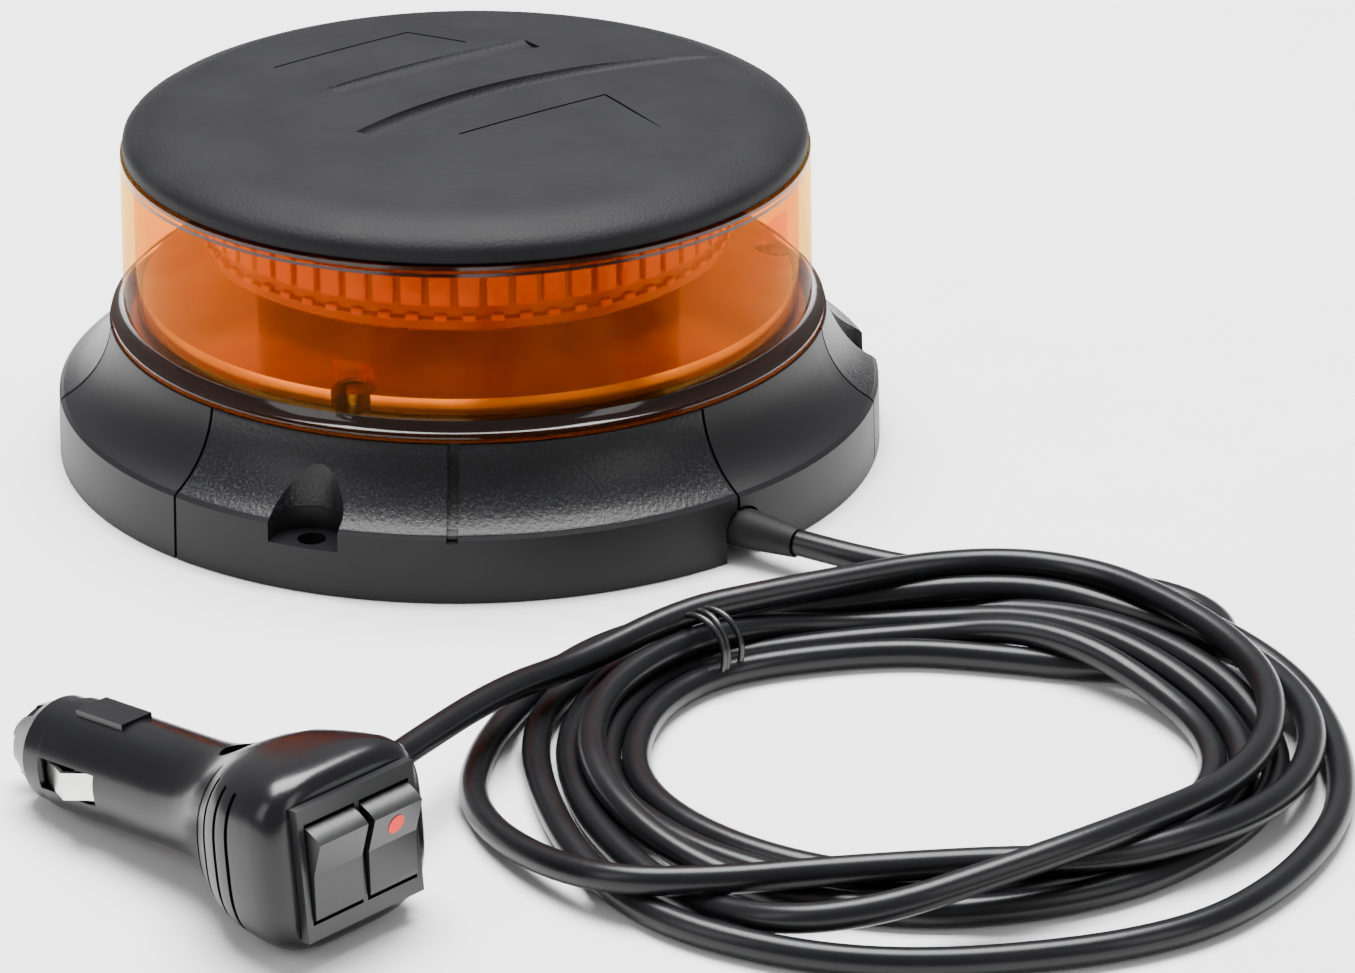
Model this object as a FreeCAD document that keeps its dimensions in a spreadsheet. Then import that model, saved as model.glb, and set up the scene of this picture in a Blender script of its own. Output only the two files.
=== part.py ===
import FreeCAD, Part

import math
import os

import Sketcher

# A flat amber warning beacon on a magnet base, with its cable, coil and 12 V lighter plug.
# Millimetres, +Z up.  The origin is on the ground, in the middle of the round base.
# Azimuths are degrees from the front (-Y), positive towards +X.

SIZES = {
    # magnet skirt
    "skirt_radius": 83.0, "skirt_draft": 0.4, "skirt_wall_height": 13.5, "skirt_wall": 3.0,
    "cove_reach": 11.1, "cove_bow": 2.05, "deck_height": 27.6, "deck_thickness": 3.0,
    "rim_bevel": 0.8, "seam_width": 0.7, "seam_depth": 0.6, "slot_width": 2.2, "slot_depth": 1.3,
    "slot_start": 12.0,
    # bolt pockets
    "bolt_inset": 4.8, "bolt_hole": 2.75, "pocket_radius": 7.2, "pocket_out": 2.4,
    "pocket_floor": 9.0,
    "pillar_radius": 9.0,
    # lens
    "lens_inset": 2.9, "lens_draft": 0.6, "lens_wall": 2.6, "lens_height": 34.6,
    "lens_gap": 0.3, "flange_reach": 2.5, "flange_edge": 1.1, "flange_rise": 3.5,
    "flange_arc": 3.6, "boss_overlap": 0.8, "boss_radius": 4.1, "boss_height": 14.4,
    "boss_slope": 9.0, "lip_width": 3.6, "lip_depth": 2.2, "lip_step": 0.6,
    # cap
    "cap_inset": 1.1, "cap_rim": 3.9, "cap_height": 8.8, "cap_wall": 2.6, "cap_rise": 1.95,
    "cap_shoulder": 3.9, "cap_bevel": 7.9, "cap_bevel_drop": 1.75, "cap_arc": 4.0,
    "crown_arc": 1057.0, "spigot_wall": 2.0, "spigot_depth": 3.6, "spigot_play": 0.4,
    "cap_boss_circle": 30.0, "cap_boss_radius": 3.6, "bevel_side": 28.0,
    # seals
    "seal_width": 2.0, "gasket_width": 2.3, "gasket_depth": 1.2, "gasket_inset": 4.0,
    "seal_inset": 1.4,
    # optics and lamp
    "optic_inset": 17.0, "optic_depth": 7.0, "optic_drop": 19.4, "optic_lip": 2.4,
    "optic_wall": 2.4, "hub_inset": 12.0, "hub_drop": 17.7, "hub_wall": 4.0,
    "hub_plate": 2.4, "hub_play": 12.0, "strip_thickness": 1.0, "strip_margin": 1.5,
    "led_size": 3.6, "led_depth": 1.4, "bell_inset": 4.0, "bell_rim_rise": 6.6,
    "bell_shoulder": 9.5, "bell_rise": 15.7, "bell_sheet": 1.4, "bell_curve": 34.0,
    # tub and driver
    "tub_inset": 13.4, "tub_drop": 14.6, "tub_wall": 2.0, "tub_flange": 2.0, "tub_play": 1.0,
    "post_radius": 8.0, "post_bore": 2.1, "post_bolt": 2.0, "board_inset": 8.6,
    "board_lift": 6.0, "board_sheet": 1.6, "board_screw_inset": 9.0, "lead_radius": 1.2,
    "lead_place": 22.0, "vent_circle": 46.0,
    # magnets
    "magnet_radius": 20.0, "magnet_height": 9.0, "pad_thickness": 1.6, "magnet_inset": 23.0,
    "cup_wall": 3.0, "carrier_sheet": 2.0, "carrier_inset": 16.0, "carrier_screw_inset": 7.0,
    # cable
    "cable_radius": 2.6, "cable_height": 6.2, "cable_heading": 52.0, "notch_radius": 4.4,
    "sleeve_outside": 12.0, "sleeve_inside": 6.0, "sleeve_radius": 3.9, "sleeve_tip": 2.9,
    "clamp_reach": 26.0, "clamp_side": 8.0, "gland_reach": 52.0, "cable_bend": 9.0,
    # coil of cable, from the place where the cable leaves the skirt
    "coil_x": 26.27, "coil_y": -93.5, "coil_radius": 78.0, "eye_radius": 45.0,
    "coil_height": 15.4, "coil_round": 4.5, "tie_x": -12.2, "tie_y": -70.0, "tie_width": 6.0,
    "tie_span": 25.0, "tie_strap": 0.7,
    # plug
    "plug_length": 84.0, "plug_radius": 10.0, "plug_wall": 1.7, "plug_heading": -46.0,
    "plug_tip_x": -130.83, "plug_tip_y": -87.3, "nose_front": 4.6, "nose_back": 14.0,
    "nose_tip_radius": 6.9, "nose_taper": 5.6, "face_length": 7.0, "nose_radius": 9.4,
    "nose_skirt": 8.0, "nose_face": 9.0, "thread_wall": 1.5, "pin_radius": 3.4, "pin_out": 2.4,
    "pin_collar": 6.0, "collar_thickness": 1.2, "washer_sheet": 0.4, "pin_tail": 2.4,
    "fuse_radius": 3.15, "fuse_length": 30.0, "sleeve_wall": 1.2, "spring_length": 8.0,
    "contact_width": 5.0, "neck_radius": 10.3, "neck_back": 32.0, "head_back": 22.0,
    "head_width": 36.0, "head_height": 32.0, "head_corner": 8.0, "head_taper": 2.0,
    "head_wall": 2.2, "grip_pitch": 4.0, "grip_width": 0.9, "grip_depth": 1.0,
    "bezel_width": 26.0, "bezel_height": 23.6, "bezel_sheet": 1.8, "bezel_edge": 1.7,
    "rocker_width": 10.7, "rocker_place": 6.1, "rocker_radius": 8.7, "rocker_proud": 3.4,
    "rocker_pin": 1.0, "lens_dot": 1.7, "cord_back": 19.0, "cord_lean": 14.5,
    "boot_length": 11.0, "boot_inside": 4.0, "switch_back": 16.0,
    # clearances
    "fit": 0.3, "running": 0.05, "screw_radius": 1.5, "screw_head": 2.8, "screw_play": 0.2,
    "past": 5.0, "nick": 1.0,
}

POCKET_AZIMUTHS = [-23.0, 97.0, 217.0]
SEAM_AZIMUTHS = [-43.5, 38.0, 76.5, 158.0, 196.5, 278.0]
SLOT_AZIMUTHS = [-2.75, 117.25, 237.25]
BOARD_AZIMUTHS = [60.0, 180.0, 300.0]
CABLE_AZIMUTH = 39.0
LED_COUNT = 30
FAR = 200.0

# The cable's points by hand, from the place where it leaves the skirt to the coil.
BEACON_LEAD = [(29.8, -18.5, 5.4)]
# The cable's points from the plug to the coil, from the same place.
PLUG_LEAD = [(-48.2, -81.5, 12.6), (-34.2, -65.5, 9.6)]

# How far the coil's outline and its eye stand off their radii, every 15 degrees from +X.
COIL_EDGE = [-2.0, -2.0, 0.0, 5.5, 7.0, 3.0, -1.5, -7.0, -9.5, -7.0, -1.0, 1.5,
             3.5, 7.0, 8.0, 2.5, 0.5, -2.5, -3.5, -3.0, -1.0, -1.5, -1.5, -2.0]
EYE_EDGE = [3.5, 3.0, 1.0, -2.0, -3.5, -3.5, -2.0, -1.5, -0.5, 2.5, 4.0, 4.6,
            4.4, 2.5, 0.0, -2.0, -3.0, -4.0, -4.5, -3.5, -1.5, 0.5, 2.0, 3.3]

document = FreeCAD.newDocument("beacon")
sheet = document.addObject("Spreadsheet::Sheet", "Sizes")
for row, (alias, number) in enumerate(SIZES.items(), start=1):
    sheet.set("A%d" % row, alias)
    sheet.set("B%d" % row, str(number))
    sheet.setAlias("B%d" % row, alias)
document.recompute()


class Size:
    """A length that knows its number and its formula on the sheet."""

    def __init__(self, number, formula=None):
        self.number = float(number)
        self.formula = formula if formula else "%.9g" % number

    def _join(self, other, sign, number):
        return Size(number, "(%s %s %s)" % (self.formula, sign, other.formula))

    def __add__(self, other):
        other = as_size(other)
        return self._join(other, "+", self.number + other.number)

    def __sub__(self, other):
        other = as_size(other)
        return self._join(other, "-", self.number - other.number)

    def __mul__(self, other):
        other = as_size(other)
        return self._join(other, "*", self.number * other.number)

    def __truediv__(self, other):
        other = as_size(other)
        return self._join(other, "/", self.number / other.number)

    def __radd__(self, other):
        return as_size(other) + self

    def __rsub__(self, other):
        return as_size(other) - self

    def __rmul__(self, other):
        return as_size(other) * self

    def __neg__(self):
        return Size(-self.number, "(-%s)" % self.formula)

    def __float__(self):
        return self.number


def as_size(value):
    return value if isinstance(value, Size) else Size(value)


class Sizes:
    """Every named size of the sheet, as an attribute."""


S = Sizes()
for alias, number in SIZES.items():
    setattr(S, alias, Size(number, "Sizes.%s" % alias))

# Radii that follow the skirt's, and heights that follow the deck's.
S.deck_radius = S.skirt_radius - S.cove_reach
S.bolt_circle = S.skirt_radius - S.bolt_inset
S.carrier_radius = S.skirt_radius - S.carrier_inset
S.carrier_screw_circle = S.carrier_radius - S.carrier_screw_inset
S.magnet_circle = S.carrier_radius - S.magnet_inset
S.lens_radius = S.deck_radius - S.lens_inset
S.flange_radius = S.lens_radius + S.flange_reach
S.cap_radius = S.lens_radius - S.cap_inset
S.tub_radius = S.lens_radius - S.tub_inset
S.board_radius = S.tub_radius - S.board_inset
S.board_screw_circle = S.board_radius - S.board_screw_inset
S.bell_rim = S.lens_radius - S.bell_inset
S.optic_radius = S.lens_radius - S.optic_inset
S.optic_inner = S.optic_radius - S.optic_depth
S.bell_corner = S.optic_radius - S.bell_shoulder
S.hub_radius = S.optic_radius - S.hub_inset
S.hub_flange = S.lens_radius - S.hub_play
S.lens_top = S.deck_height + S.lens_height
S.cap_crown = S.lens_top + S.cap_height
S.boss_top = S.deck_height + S.boss_height
S.optic_bottom = S.lens_top - S.optic_drop
S.hub_bottom = S.lens_top - S.hub_drop
S.bell_rim_height = S.deck_height + S.bell_rim_rise
S.bell_top = S.deck_height + S.bell_rise
S.tub_floor = S.deck_height - S.tub_drop
S.board_height = S.tub_floor + S.board_lift
S.neck_end = S.plug_length - S.neck_back
S.head_start = S.plug_length - S.head_back
S.cord_exit = S.plug_length - S.cord_back


def polar(radius, azimuth):
    """The x and y of a place at this radius and azimuth."""
    turn = math.radians(azimuth)
    return as_size(radius) * math.sin(turn), as_size(radius) * -math.cos(turn)


def bind(thing, prop, size):
    thing.setExpression(prop, as_size(size).formula)


def settle(thing, x=0, y=0, z=0):
    """Bind an object's place to the sheet."""
    for axis, size in zip("xyz", (x, y, z)):
        if as_size(size).formula not in ("0", "-0"):
            bind(thing, "Placement.Base.%s" % axis, size)
    return thing


def primitive(kind, x=0, y=0, z=0, **sizes):
    thing = document.addObject("Part::" + kind, kind)
    for prop, size in sizes.items():
        bind(thing, prop, size)
    return settle(thing, x, y, z)


def cylinder(radius, bottom, top, x=0, y=0):
    return primitive("Cylinder", x, y, bottom, Radius=radius, Height=as_size(top) - bottom)


def cone(low, high, bottom, top, x=0, y=0):
    return primitive("Cone", x, y, bottom, Radius1=low, Radius2=high,
                     Height=as_size(top) - bottom)


def box(low, high):
    """A box between two corners."""
    length, width, height = [as_size(b) - a for a, b in zip(low, high)]
    return primitive("Box", *low, Length=length, Width=width, Height=height)


def turned_box(low, high, azimuth):
    """A box laid along +X from the axis and turned about it to an azimuth."""
    piece = box(low, high)
    turned = document.addObject("Part::Compound", "Turned")
    turned.Links = [piece]
    spin = FreeCAD.Rotation(FreeCAD.Vector(0, 0, 1), azimuth - 90.0)
    turned.Placement = FreeCAD.Placement(FreeCAD.Vector(0, 0, 0), spin)
    return turned


def along(piece, axis, place=(0, 0, 0)):
    """Turn a piece built along +Z so that it lies along another axis, at a place."""
    laid = document.addObject("Part::Compound", "Laid")
    laid.Links = [piece]
    turn = FreeCAD.Rotation(FreeCAD.Vector(0, 0, 1), FreeCAD.Vector(*axis))
    laid.Placement = FreeCAD.Placement(FreeCAD.Vector(0, 0, 0), turn)
    return settle(laid, *place)


def group(pieces):
    joined = document.addObject("Part::Compound", "Group")
    joined.Links = pieces
    return joined


def fuse(pieces):
    joined = document.addObject("Part::MultiFuse", "Fuse")
    joined.Shapes = pieces
    joined.Refine = True
    return joined


def cut(base, tools):
    result = document.addObject("Part::Cut", "Cut")
    result.Base = base
    result.Tool = tools[0] if len(tools) == 1 else fuse(tools)
    return result


def common(base, tool):
    result = document.addObject("Part::Common", "Common")
    result.Base = base
    result.Tool = tool
    return result


def origin_plane(body, role):
    for feature in body.Origin.OriginFeatures:
        if feature.Role == role:
            return feature
    raise RuntimeError("no plane " + role)


def outline(body, role, points):
    """A closed sketch.  A point is (across, up), or (across, up, radius) where an arc ends.

    An arc's radius is positive where the outline turns left along it."""
    sketch = body.newObject("Sketcher::SketchObject", "Outline")
    sketch.AttachmentSupport = [(origin_plane(body, role), "")]
    sketch.MapMode = "FlatFace"
    places = [FreeCAD.Vector(float(p[0]), float(p[1]), 0) for p in points]
    count = len(points)
    for i in range(count):
        start, end = places[i], places[(i + 1) % count]
        target = points[(i + 1) % count]
        if len(target) == 3:
            sketch.addGeometry(arc_between(start, end, float(target[2])), False)
        else:
            sketch.addGeometry(Part.LineSegment(start, end), False)
    for i in range(count):
        after = (i + 1) % count
        point = points[after]
        ends = [2 if is_line_or_left(points, i) else 1, 1 if is_line_or_left(points, after) else 2]
        sketch.addConstraint(Sketcher.Constraint("Coincident", i, ends[0], after, ends[1]))
        for kind, size in (("DistanceX", point[0]), ("DistanceY", point[1])):
            size = as_size(size)
            index = sketch.addConstraint(
                Sketcher.Constraint(kind, -1, 1, after, ends[1], size.number))
            if "Sizes" in size.formula:
                sketch.setExpression("Constraints[%d]" % index, size.formula)
        if len(point) == 3:
            radius = point[2] if float(point[2]) > 0 else -as_size(point[2])
            index = sketch.addConstraint(Sketcher.Constraint("Radius", i, float(radius)))
            if "Sizes" in as_size(radius).formula:
                sketch.setExpression("Constraints[%d]" % index, as_size(radius).formula)
    return sketch


def is_line_or_left(points, edge):
    """FreeCAD's arcs run to the left, so one that runs right has its ends the other way round."""
    target = points[(edge + 1) % len(points)]
    return len(target) == 2 or float(target[2]) > 0


def arc_between(start, end, radius):
    chord = end - start
    middle = (start + end) * 0.5
    reach = math.sqrt(radius * radius - chord.Length * chord.Length / 4.0)
    left = FreeCAD.Vector(-chord.y, chord.x, 0).normalize()
    centre = middle + left * (reach if radius > 0 else -reach)
    first, second = (start, end) if radius > 0 else (end, start)
    circle = Part.Circle(centre, FreeCAD.Vector(0, 0, 1), abs(radius))
    return Part.ArcOfCircle(circle, circle.parameter(first), circle.parameter(second))


def turned(points, about="V_Axis"):
    """A body turned from a profile: (radius, height) about Z, or (along, radius) about X."""
    body = document.addObject("PartDesign::Body", "Turned")
    sketch = outline(body, "XZ_Plane", points)
    revolution = body.newObject("PartDesign::Revolution", "Revolution")
    revolution.Profile = sketch
    revolution.ReferenceAxis = (sketch, [about])
    revolution.Angle = 360.0
    return body


def padded(role, points, thickness, middle=True):
    """A body padded from an outline, half to each side of its plane or all to one side."""
    body = document.addObject("PartDesign::Body", "Padded")
    sketch = outline(body, role, points)
    pad = body.newObject("PartDesign::Pad", "Pad")
    pad.Profile = sketch
    pad.Midplane = middle
    bind(pad, "Length", thickness)
    return body


def tube_ring(outer, inner, bottom, top):
    return turned([(inner, bottom), (outer, bottom), (outer, top), (inner, top)])


def ring_of(make, azimuths):
    """The same piece at several azimuths, as one group of separate solids."""
    return group([make(azimuth) for azimuth in azimuths])


def place_at(piece, placement):
    """Set a whole sub-part in the plug's frame."""
    held = document.addObject("Part::Compound", "Held")
    held.Links = [piece]
    held.Placement = placement
    return held


PARTS = {}


def keep(label, thing):
    """Name a finished sub-part."""
    thing.Label = label
    PARTS[label] = thing
    return thing


def screw(x, y, head_bottom, head_top, tip, head=None, shank=None):
    """A pan-head screw that stands up: its head is below and its shank above."""
    head = S.screw_head if head is None else head
    shank = S.screw_radius if shank is None else shank
    profile = [(0, head_bottom), (head, head_bottom), (head, head_top),
               (shank, head_top), (shank, tip), (0, tip)]
    return settle(turned(profile), x, y, 0)


# ---------------------------------------------------------------- magnet skirt

def cove_radius():
    """The radius of the cove, whose arc bows by a set depth between the wall and the deck."""
    across = S.cove_reach - S.skirt_draft - S.rim_bevel
    up = S.deck_height - S.skirt_wall_height
    return (across * across + up * up) / (S.cove_bow * 8) + S.cove_bow / 2


def cove_outline(shift):
    """The skirt's outside from the ground up to its deck, moved inwards by a shift."""
    wall_top = S.skirt_radius - S.skirt_draft - shift
    return [
        (S.skirt_radius - shift, 0),
        (wall_top, S.skirt_wall_height - S.rim_bevel),
        (wall_top - S.rim_bevel, S.skirt_wall_height),
        (S.deck_radius - shift, S.deck_height - shift, -cove_radius()),
    ]


def magnet_skirt():
    outside = cove_outline(Size(0))
    inside = cove_outline(S.skirt_wall)
    under_deck = S.deck_height - S.deck_thickness
    solid = turned([(0, 0)] + outside + [(0, S.deck_height)])
    room = turned([(0, -1), (inside[0][0], -1)] + inside[:3]
                  + [(inside[3][0], under_deck, -cove_radius()), (0, under_deck)])
    pillars = [cylinder(S.pillar_radius, -2, FAR, *polar(S.bolt_circle, azimuth))
               for azimuth in POCKET_AZIMUTHS]
    bosses = [cylinder(S.screw_head + S.rim_bevel, carrier_top(), FAR,
                       *polar(S.carrier_screw_circle, azimuth))
              for azimuth in carrier_screw_azimuths()]
    body = cut(cut(solid, [cut(room, pillars + bosses)]),
               [cylinder(S.tub_radius + S.fit, 0, FAR)])
    tools = []
    for azimuth in POCKET_AZIMUTHS:
        spot = polar(S.bolt_circle, azimuth)
        middle = S.bolt_circle + S.pocket_out
        tools.append(cylinder(S.pocket_radius, S.pocket_floor, S.deck_height + S.past,
                              *polar(middle, azimuth)))
        tools.append(turned_box((middle, -S.pocket_radius, S.pocket_floor),
                                (S.skirt_radius + S.past, S.pocket_radius,
                                 S.deck_height + S.past), azimuth))
        tools.append(cylinder(S.bolt_hole, -S.nick, S.pocket_floor + S.nick, *spot))
    for azimuth in SEAM_AZIMUTHS:
        tools.append(seam_cutter(azimuth, S.seam_width, S.seam_depth, -S.nick))
    for azimuth in SLOT_AZIMUTHS:
        tools.append(seam_cutter(azimuth, S.slot_width, S.slot_depth, S.slot_start))
    groove = S.flange_radius - S.gasket_inset
    tools.append(tube_ring(groove + S.gasket_width, groove, S.deck_height - S.gasket_depth,
                           S.deck_height + 1))
    for azimuth in lens_screw_azimuths():
        tools.append(cylinder(S.screw_radius + S.screw_play, under_deck - 1, S.deck_height + 1,
                              *polar(boss_circle(), azimuth)))
    for azimuth in carrier_screw_azimuths():
        tools.append(cylinder(S.screw_radius, carrier_top() - 1, carrier_top() + 8,
                              *polar(S.carrier_screw_circle, azimuth)))
    tools.append(cable_notch())
    return cut(body, tools)


def seam_cutter(azimuth, width, depth, bottom):
    """A thin slab that follows the outside, so that it cuts a groove of an even depth."""
    ring = cut(cylinder(S.skirt_radius + S.past, bottom, S.deck_height + S.nick),
               [inner_solid(depth)])
    slab = turned_box((S.deck_radius - S.past, -width / 2, -2 * S.nick),
                      (S.skirt_radius + S.past * 2, width / 2, FAR),
                      azimuth)
    return common(ring, slab)


def inner_solid(depth):
    """The skirt's outside shape, shrunk by a depth."""
    wall_top = S.skirt_radius - S.skirt_draft - depth
    return turned([
        (0, -S.past), (S.skirt_radius - depth, -S.past),
        (wall_top, S.skirt_wall_height - S.rim_bevel),
        (wall_top - S.rim_bevel, S.skirt_wall_height - depth * 0.5),
        (S.deck_radius - depth, S.deck_height, -cove_radius()),
        (0, S.deck_height + S.past)])


def carrier_top():
    return S.pad_thickness + S.magnet_height + S.carrier_sheet


def carrier_screw_azimuths():
    return [azimuth + 36.0 for azimuth in POCKET_AZIMUTHS]


def boss_circle():
    """The circle of the lens's screw bosses, which grow out of its wall."""
    return S.lens_radius - S.lens_wall - S.boss_radius + S.boss_overlap


def lens_screw_azimuths():
    return [azimuth + 2.5 for azimuth in POCKET_AZIMUTHS]


def cable_exit():
    """Where the cable passes the outside of the skirt."""
    return polar(S.skirt_radius, CABLE_AZIMUTH)


def heading_box(low, high):
    """A box laid along the cable's heading from the place where it passes the skirt."""
    piece = turned_box(low, high, SIZES["cable_heading"])
    return settle(piece, *cable_exit(), 0)


def cable_notch():
    arch = along(cylinder(S.notch_radius, -12, 8), heading_vector(), (0, 0, 0))
    settle(arch, *cable_exit(), S.cable_height)
    slot = heading_box((-12, -S.notch_radius, -5), (8, S.notch_radius, S.cable_height))
    return fuse([arch, slot])


def heading_vector():
    turn = math.radians(SIZES["cable_heading"])
    return (math.sin(turn), -math.cos(turn), 0)


keep("magnet_skirt", magnet_skirt())

# ---------------------------------------------------------------- magnets and carrier


def magnet_cup(azimuth):
    top = S.pad_thickness + S.magnet_height
    shape = turned([
        (S.screw_radius, top - S.cup_wall), (S.magnet_radius - S.cup_wall, top - S.cup_wall),
        (S.magnet_radius - S.cup_wall, S.pad_thickness), (S.magnet_radius, S.pad_thickness),
        (S.magnet_radius, top), (S.screw_radius, top)])
    return settle(shape, *polar(S.magnet_circle, azimuth), 0)


def magnet_disc(azimuth):
    disc = tube_ring(S.magnet_radius - S.cup_wall - 0.4, S.screw_head + 0.4, S.pad_thickness,
                     S.pad_thickness + S.magnet_height - S.cup_wall)
    return settle(disc, *polar(S.magnet_circle, azimuth), 0)


def magnet_pad(azimuth):
    pad = turned([(0, 0), (S.magnet_radius, 0), (S.magnet_radius + 0.5, 0.5),
                  (S.magnet_radius + 0.5, S.pad_thickness), (0, S.pad_thickness)])
    return settle(pad, *polar(S.magnet_circle, azimuth), 0)


def magnet_screw(azimuth):
    seat = S.pad_thickness + S.magnet_height - S.cup_wall
    return screw(*polar(S.magnet_circle, azimuth), seat - 2, seat, carrier_top() + 0.2)


def carrier_plate():
    bottom = S.pad_thickness + S.magnet_height
    disc = cylinder(S.carrier_radius, bottom, carrier_top())
    holes = [cylinder(S.screw_radius, bottom - 1, carrier_top() + 1, *polar(S.magnet_circle, a))
             for a in POCKET_AZIMUTHS]
    holes += [cylinder(S.screw_radius, bottom - 1, carrier_top() + 1,
                       *polar(S.carrier_screw_circle, a)) for a in carrier_screw_azimuths()]
    holes += [cylinder(S.screw_radius, bottom - 1, carrier_top() + 1, *clamp_spot(side))
              for side in (-1, 1)]
    holes.append(cylinder(S.notch_radius + 3.6, bottom - 1, carrier_top() + 1, *gland_spot()))
    holes.append(cylinder(S.post_radius, bottom - 1, carrier_top() + 1))
    return cut(disc, holes)


def along_cable(distance, aside=0.0):
    """A place on the cable's line inside the skirt, this far in from where it passes it."""
    exit_x, exit_y = cable_exit()
    ahead = heading_vector()
    return (exit_x - as_size(distance) * ahead[0] - as_size(aside) * ahead[1],
            exit_y - as_size(distance) * ahead[1] + as_size(aside) * ahead[0])


def clamp_spot(side):
    return along_cable(S.clamp_reach, side * S.clamp_side.number)


def gland_spot():
    return along_cable(S.gland_reach)


def cable_clamp():
    bottom = S.pad_thickness + S.magnet_height
    bar = settle(turned_box((-30, -12, 0), (-22, 12, bottom - 2.2), SIZES["cable_heading"]),
                 *cable_exit(), 2.2)
    bore = along(cylinder(S.cable_radius, -40, 0), heading_vector())
    settle(bore, *cable_exit(), S.cable_height)
    holes = [cylinder(S.screw_radius, -1, bottom + 1, *clamp_spot(side)) for side in (-1, 1)]
    heads = [cylinder(S.screw_head + 0.2, -1, 4.6, *clamp_spot(side)) for side in (-1, 1)]
    return cut(bar, [bore] + holes + heads)


keep("magnet_cups", ring_of(magnet_cup, POCKET_AZIMUTHS))
keep("magnets", ring_of(magnet_disc, POCKET_AZIMUTHS))
keep("magnet_pads", ring_of(magnet_pad, POCKET_AZIMUTHS))
keep("magnet_screws", ring_of(magnet_screw, POCKET_AZIMUTHS))
keep("carrier_plate", carrier_plate())
keep("carrier_screws", group([
    screw(*polar(S.carrier_screw_circle, a), carrier_top() - S.carrier_sheet - 2,
          carrier_top() - S.carrier_sheet, carrier_top() + 7) for a in carrier_screw_azimuths()]))
keep("cable_clamp", cable_clamp())
keep("clamp_screws", group([screw(*clamp_spot(side), 2.6, 4.6, carrier_top() + 0.2)
                            for side in (-1, 1)]))

# ---------------------------------------------------------------- tub, driver and feed


def inner_tub():
    top = S.deck_height + S.tub_flange
    inside = S.tub_radius - S.tub_wall
    floor_top = S.tub_floor + S.tub_wall
    bowl = turned([
        (0, S.tub_floor), (S.tub_radius, S.tub_floor), (S.tub_radius, S.deck_height),
        (S.lens_radius - S.lens_wall - S.tub_play, S.deck_height),
        (S.lens_radius - S.lens_wall - S.tub_play, top), (inside, top), (inside, floor_top),
        (0, floor_top)])
    bosses = [cylinder(S.screw_head, floor_top - 0.5, S.board_height,
                       *polar(S.board_screw_circle, a)) for a in BOARD_AZIMUTHS]
    tools = [cylinder(S.screw_radius, S.tub_floor + 1, S.board_height + 1,
                      *polar(S.board_screw_circle, a)) for a in BOARD_AZIMUTHS]
    tools += [cylinder(S.boss_radius + S.fit, S.deck_height - 1, top + 1,
                       *polar(boss_circle(), a)) for a in lens_screw_azimuths()]
    tools.append(cylinder(S.notch_radius, S.tub_floor - 1, floor_top + 1, *gland_spot()))
    tools.append(cylinder(S.post_bolt + 0.2, S.tub_floor - 1, floor_top + 1))
    tools.append(cylinder(2.0, S.tub_floor - 1, floor_top + 1, *polar(S.vent_circle, 160)))
    return cut(fuse([bowl] + bosses), tools)


def driver_board():
    top = S.board_height + S.board_sheet
    disc = cylinder(S.board_radius, S.board_height, top)
    tools = [cylinder(S.screw_radius, S.board_height - 1, top + 1,
                      *polar(S.board_screw_circle, a)) for a in BOARD_AZIMUTHS]
    tools.append(cylinder(S.post_radius + S.fit, S.board_height - 1, top + 1))
    tools.append(cylinder(S.notch_radius + 1, S.board_height - 1, top + 1, *gland_spot()))
    return cut(disc, tools)


def board_screw(azimuth):
    top = S.board_height + S.board_sheet
    profile = [(0, S.tub_floor + S.tub_wall), (S.screw_radius, S.tub_floor + S.tub_wall),
               (S.screw_radius, top), (S.screw_head, top), (S.screw_head, top + 2), (0, top + 2)]
    return settle(turned(profile), *polar(S.board_screw_circle, azimuth), 0)


def driver_chips():
    top = S.board_height + S.board_sheet
    chips = []
    for x, y, long, wide, tall in [(-30, 0, 8, 6, 1.6), (-16, 22, 5, 5, 1.2), (8, 30, 10, 8, 2.0),
                                   (-22, -18, 6, 4, 1.5), (4, -34, 9, 5, 1.8)]:
        chips.append(box((x, y, top), (x + long, y + wide, top + tall)))
    return group(chips)


def driver_coil():
    top = S.board_height + S.board_sheet
    spot = (-28, 18)
    bobbin = turned([(0, top), (5.5, top), (5.5, top + 1), (3, top + 1), (3, top + 4),
                     (5.5, top + 4), (5.5, top + 5), (0, top + 5)])
    return settle(bobbin, *spot, 0)


def driver_capacitors():
    top = S.board_height + S.board_sheet
    cans = [turned([(0, top), (4, top), (4, top + 6.6), (3.4, top + 7), (0, top + 7)])
            for _ in range(2)]
    return group([settle(can, x, y, 0) for can, (x, y) in zip(cans, [(30, 10), (30, -2)])])


def wire_run(points, bend, radius):
    """A tube along straight runs joined by round bends."""
    shape = tube_along(points, [bend] * (len(points) - 2), float(radius))
    wire = document.addObject("Part::Feature", "Wire")
    wire.Shape = shape
    return wire


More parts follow.
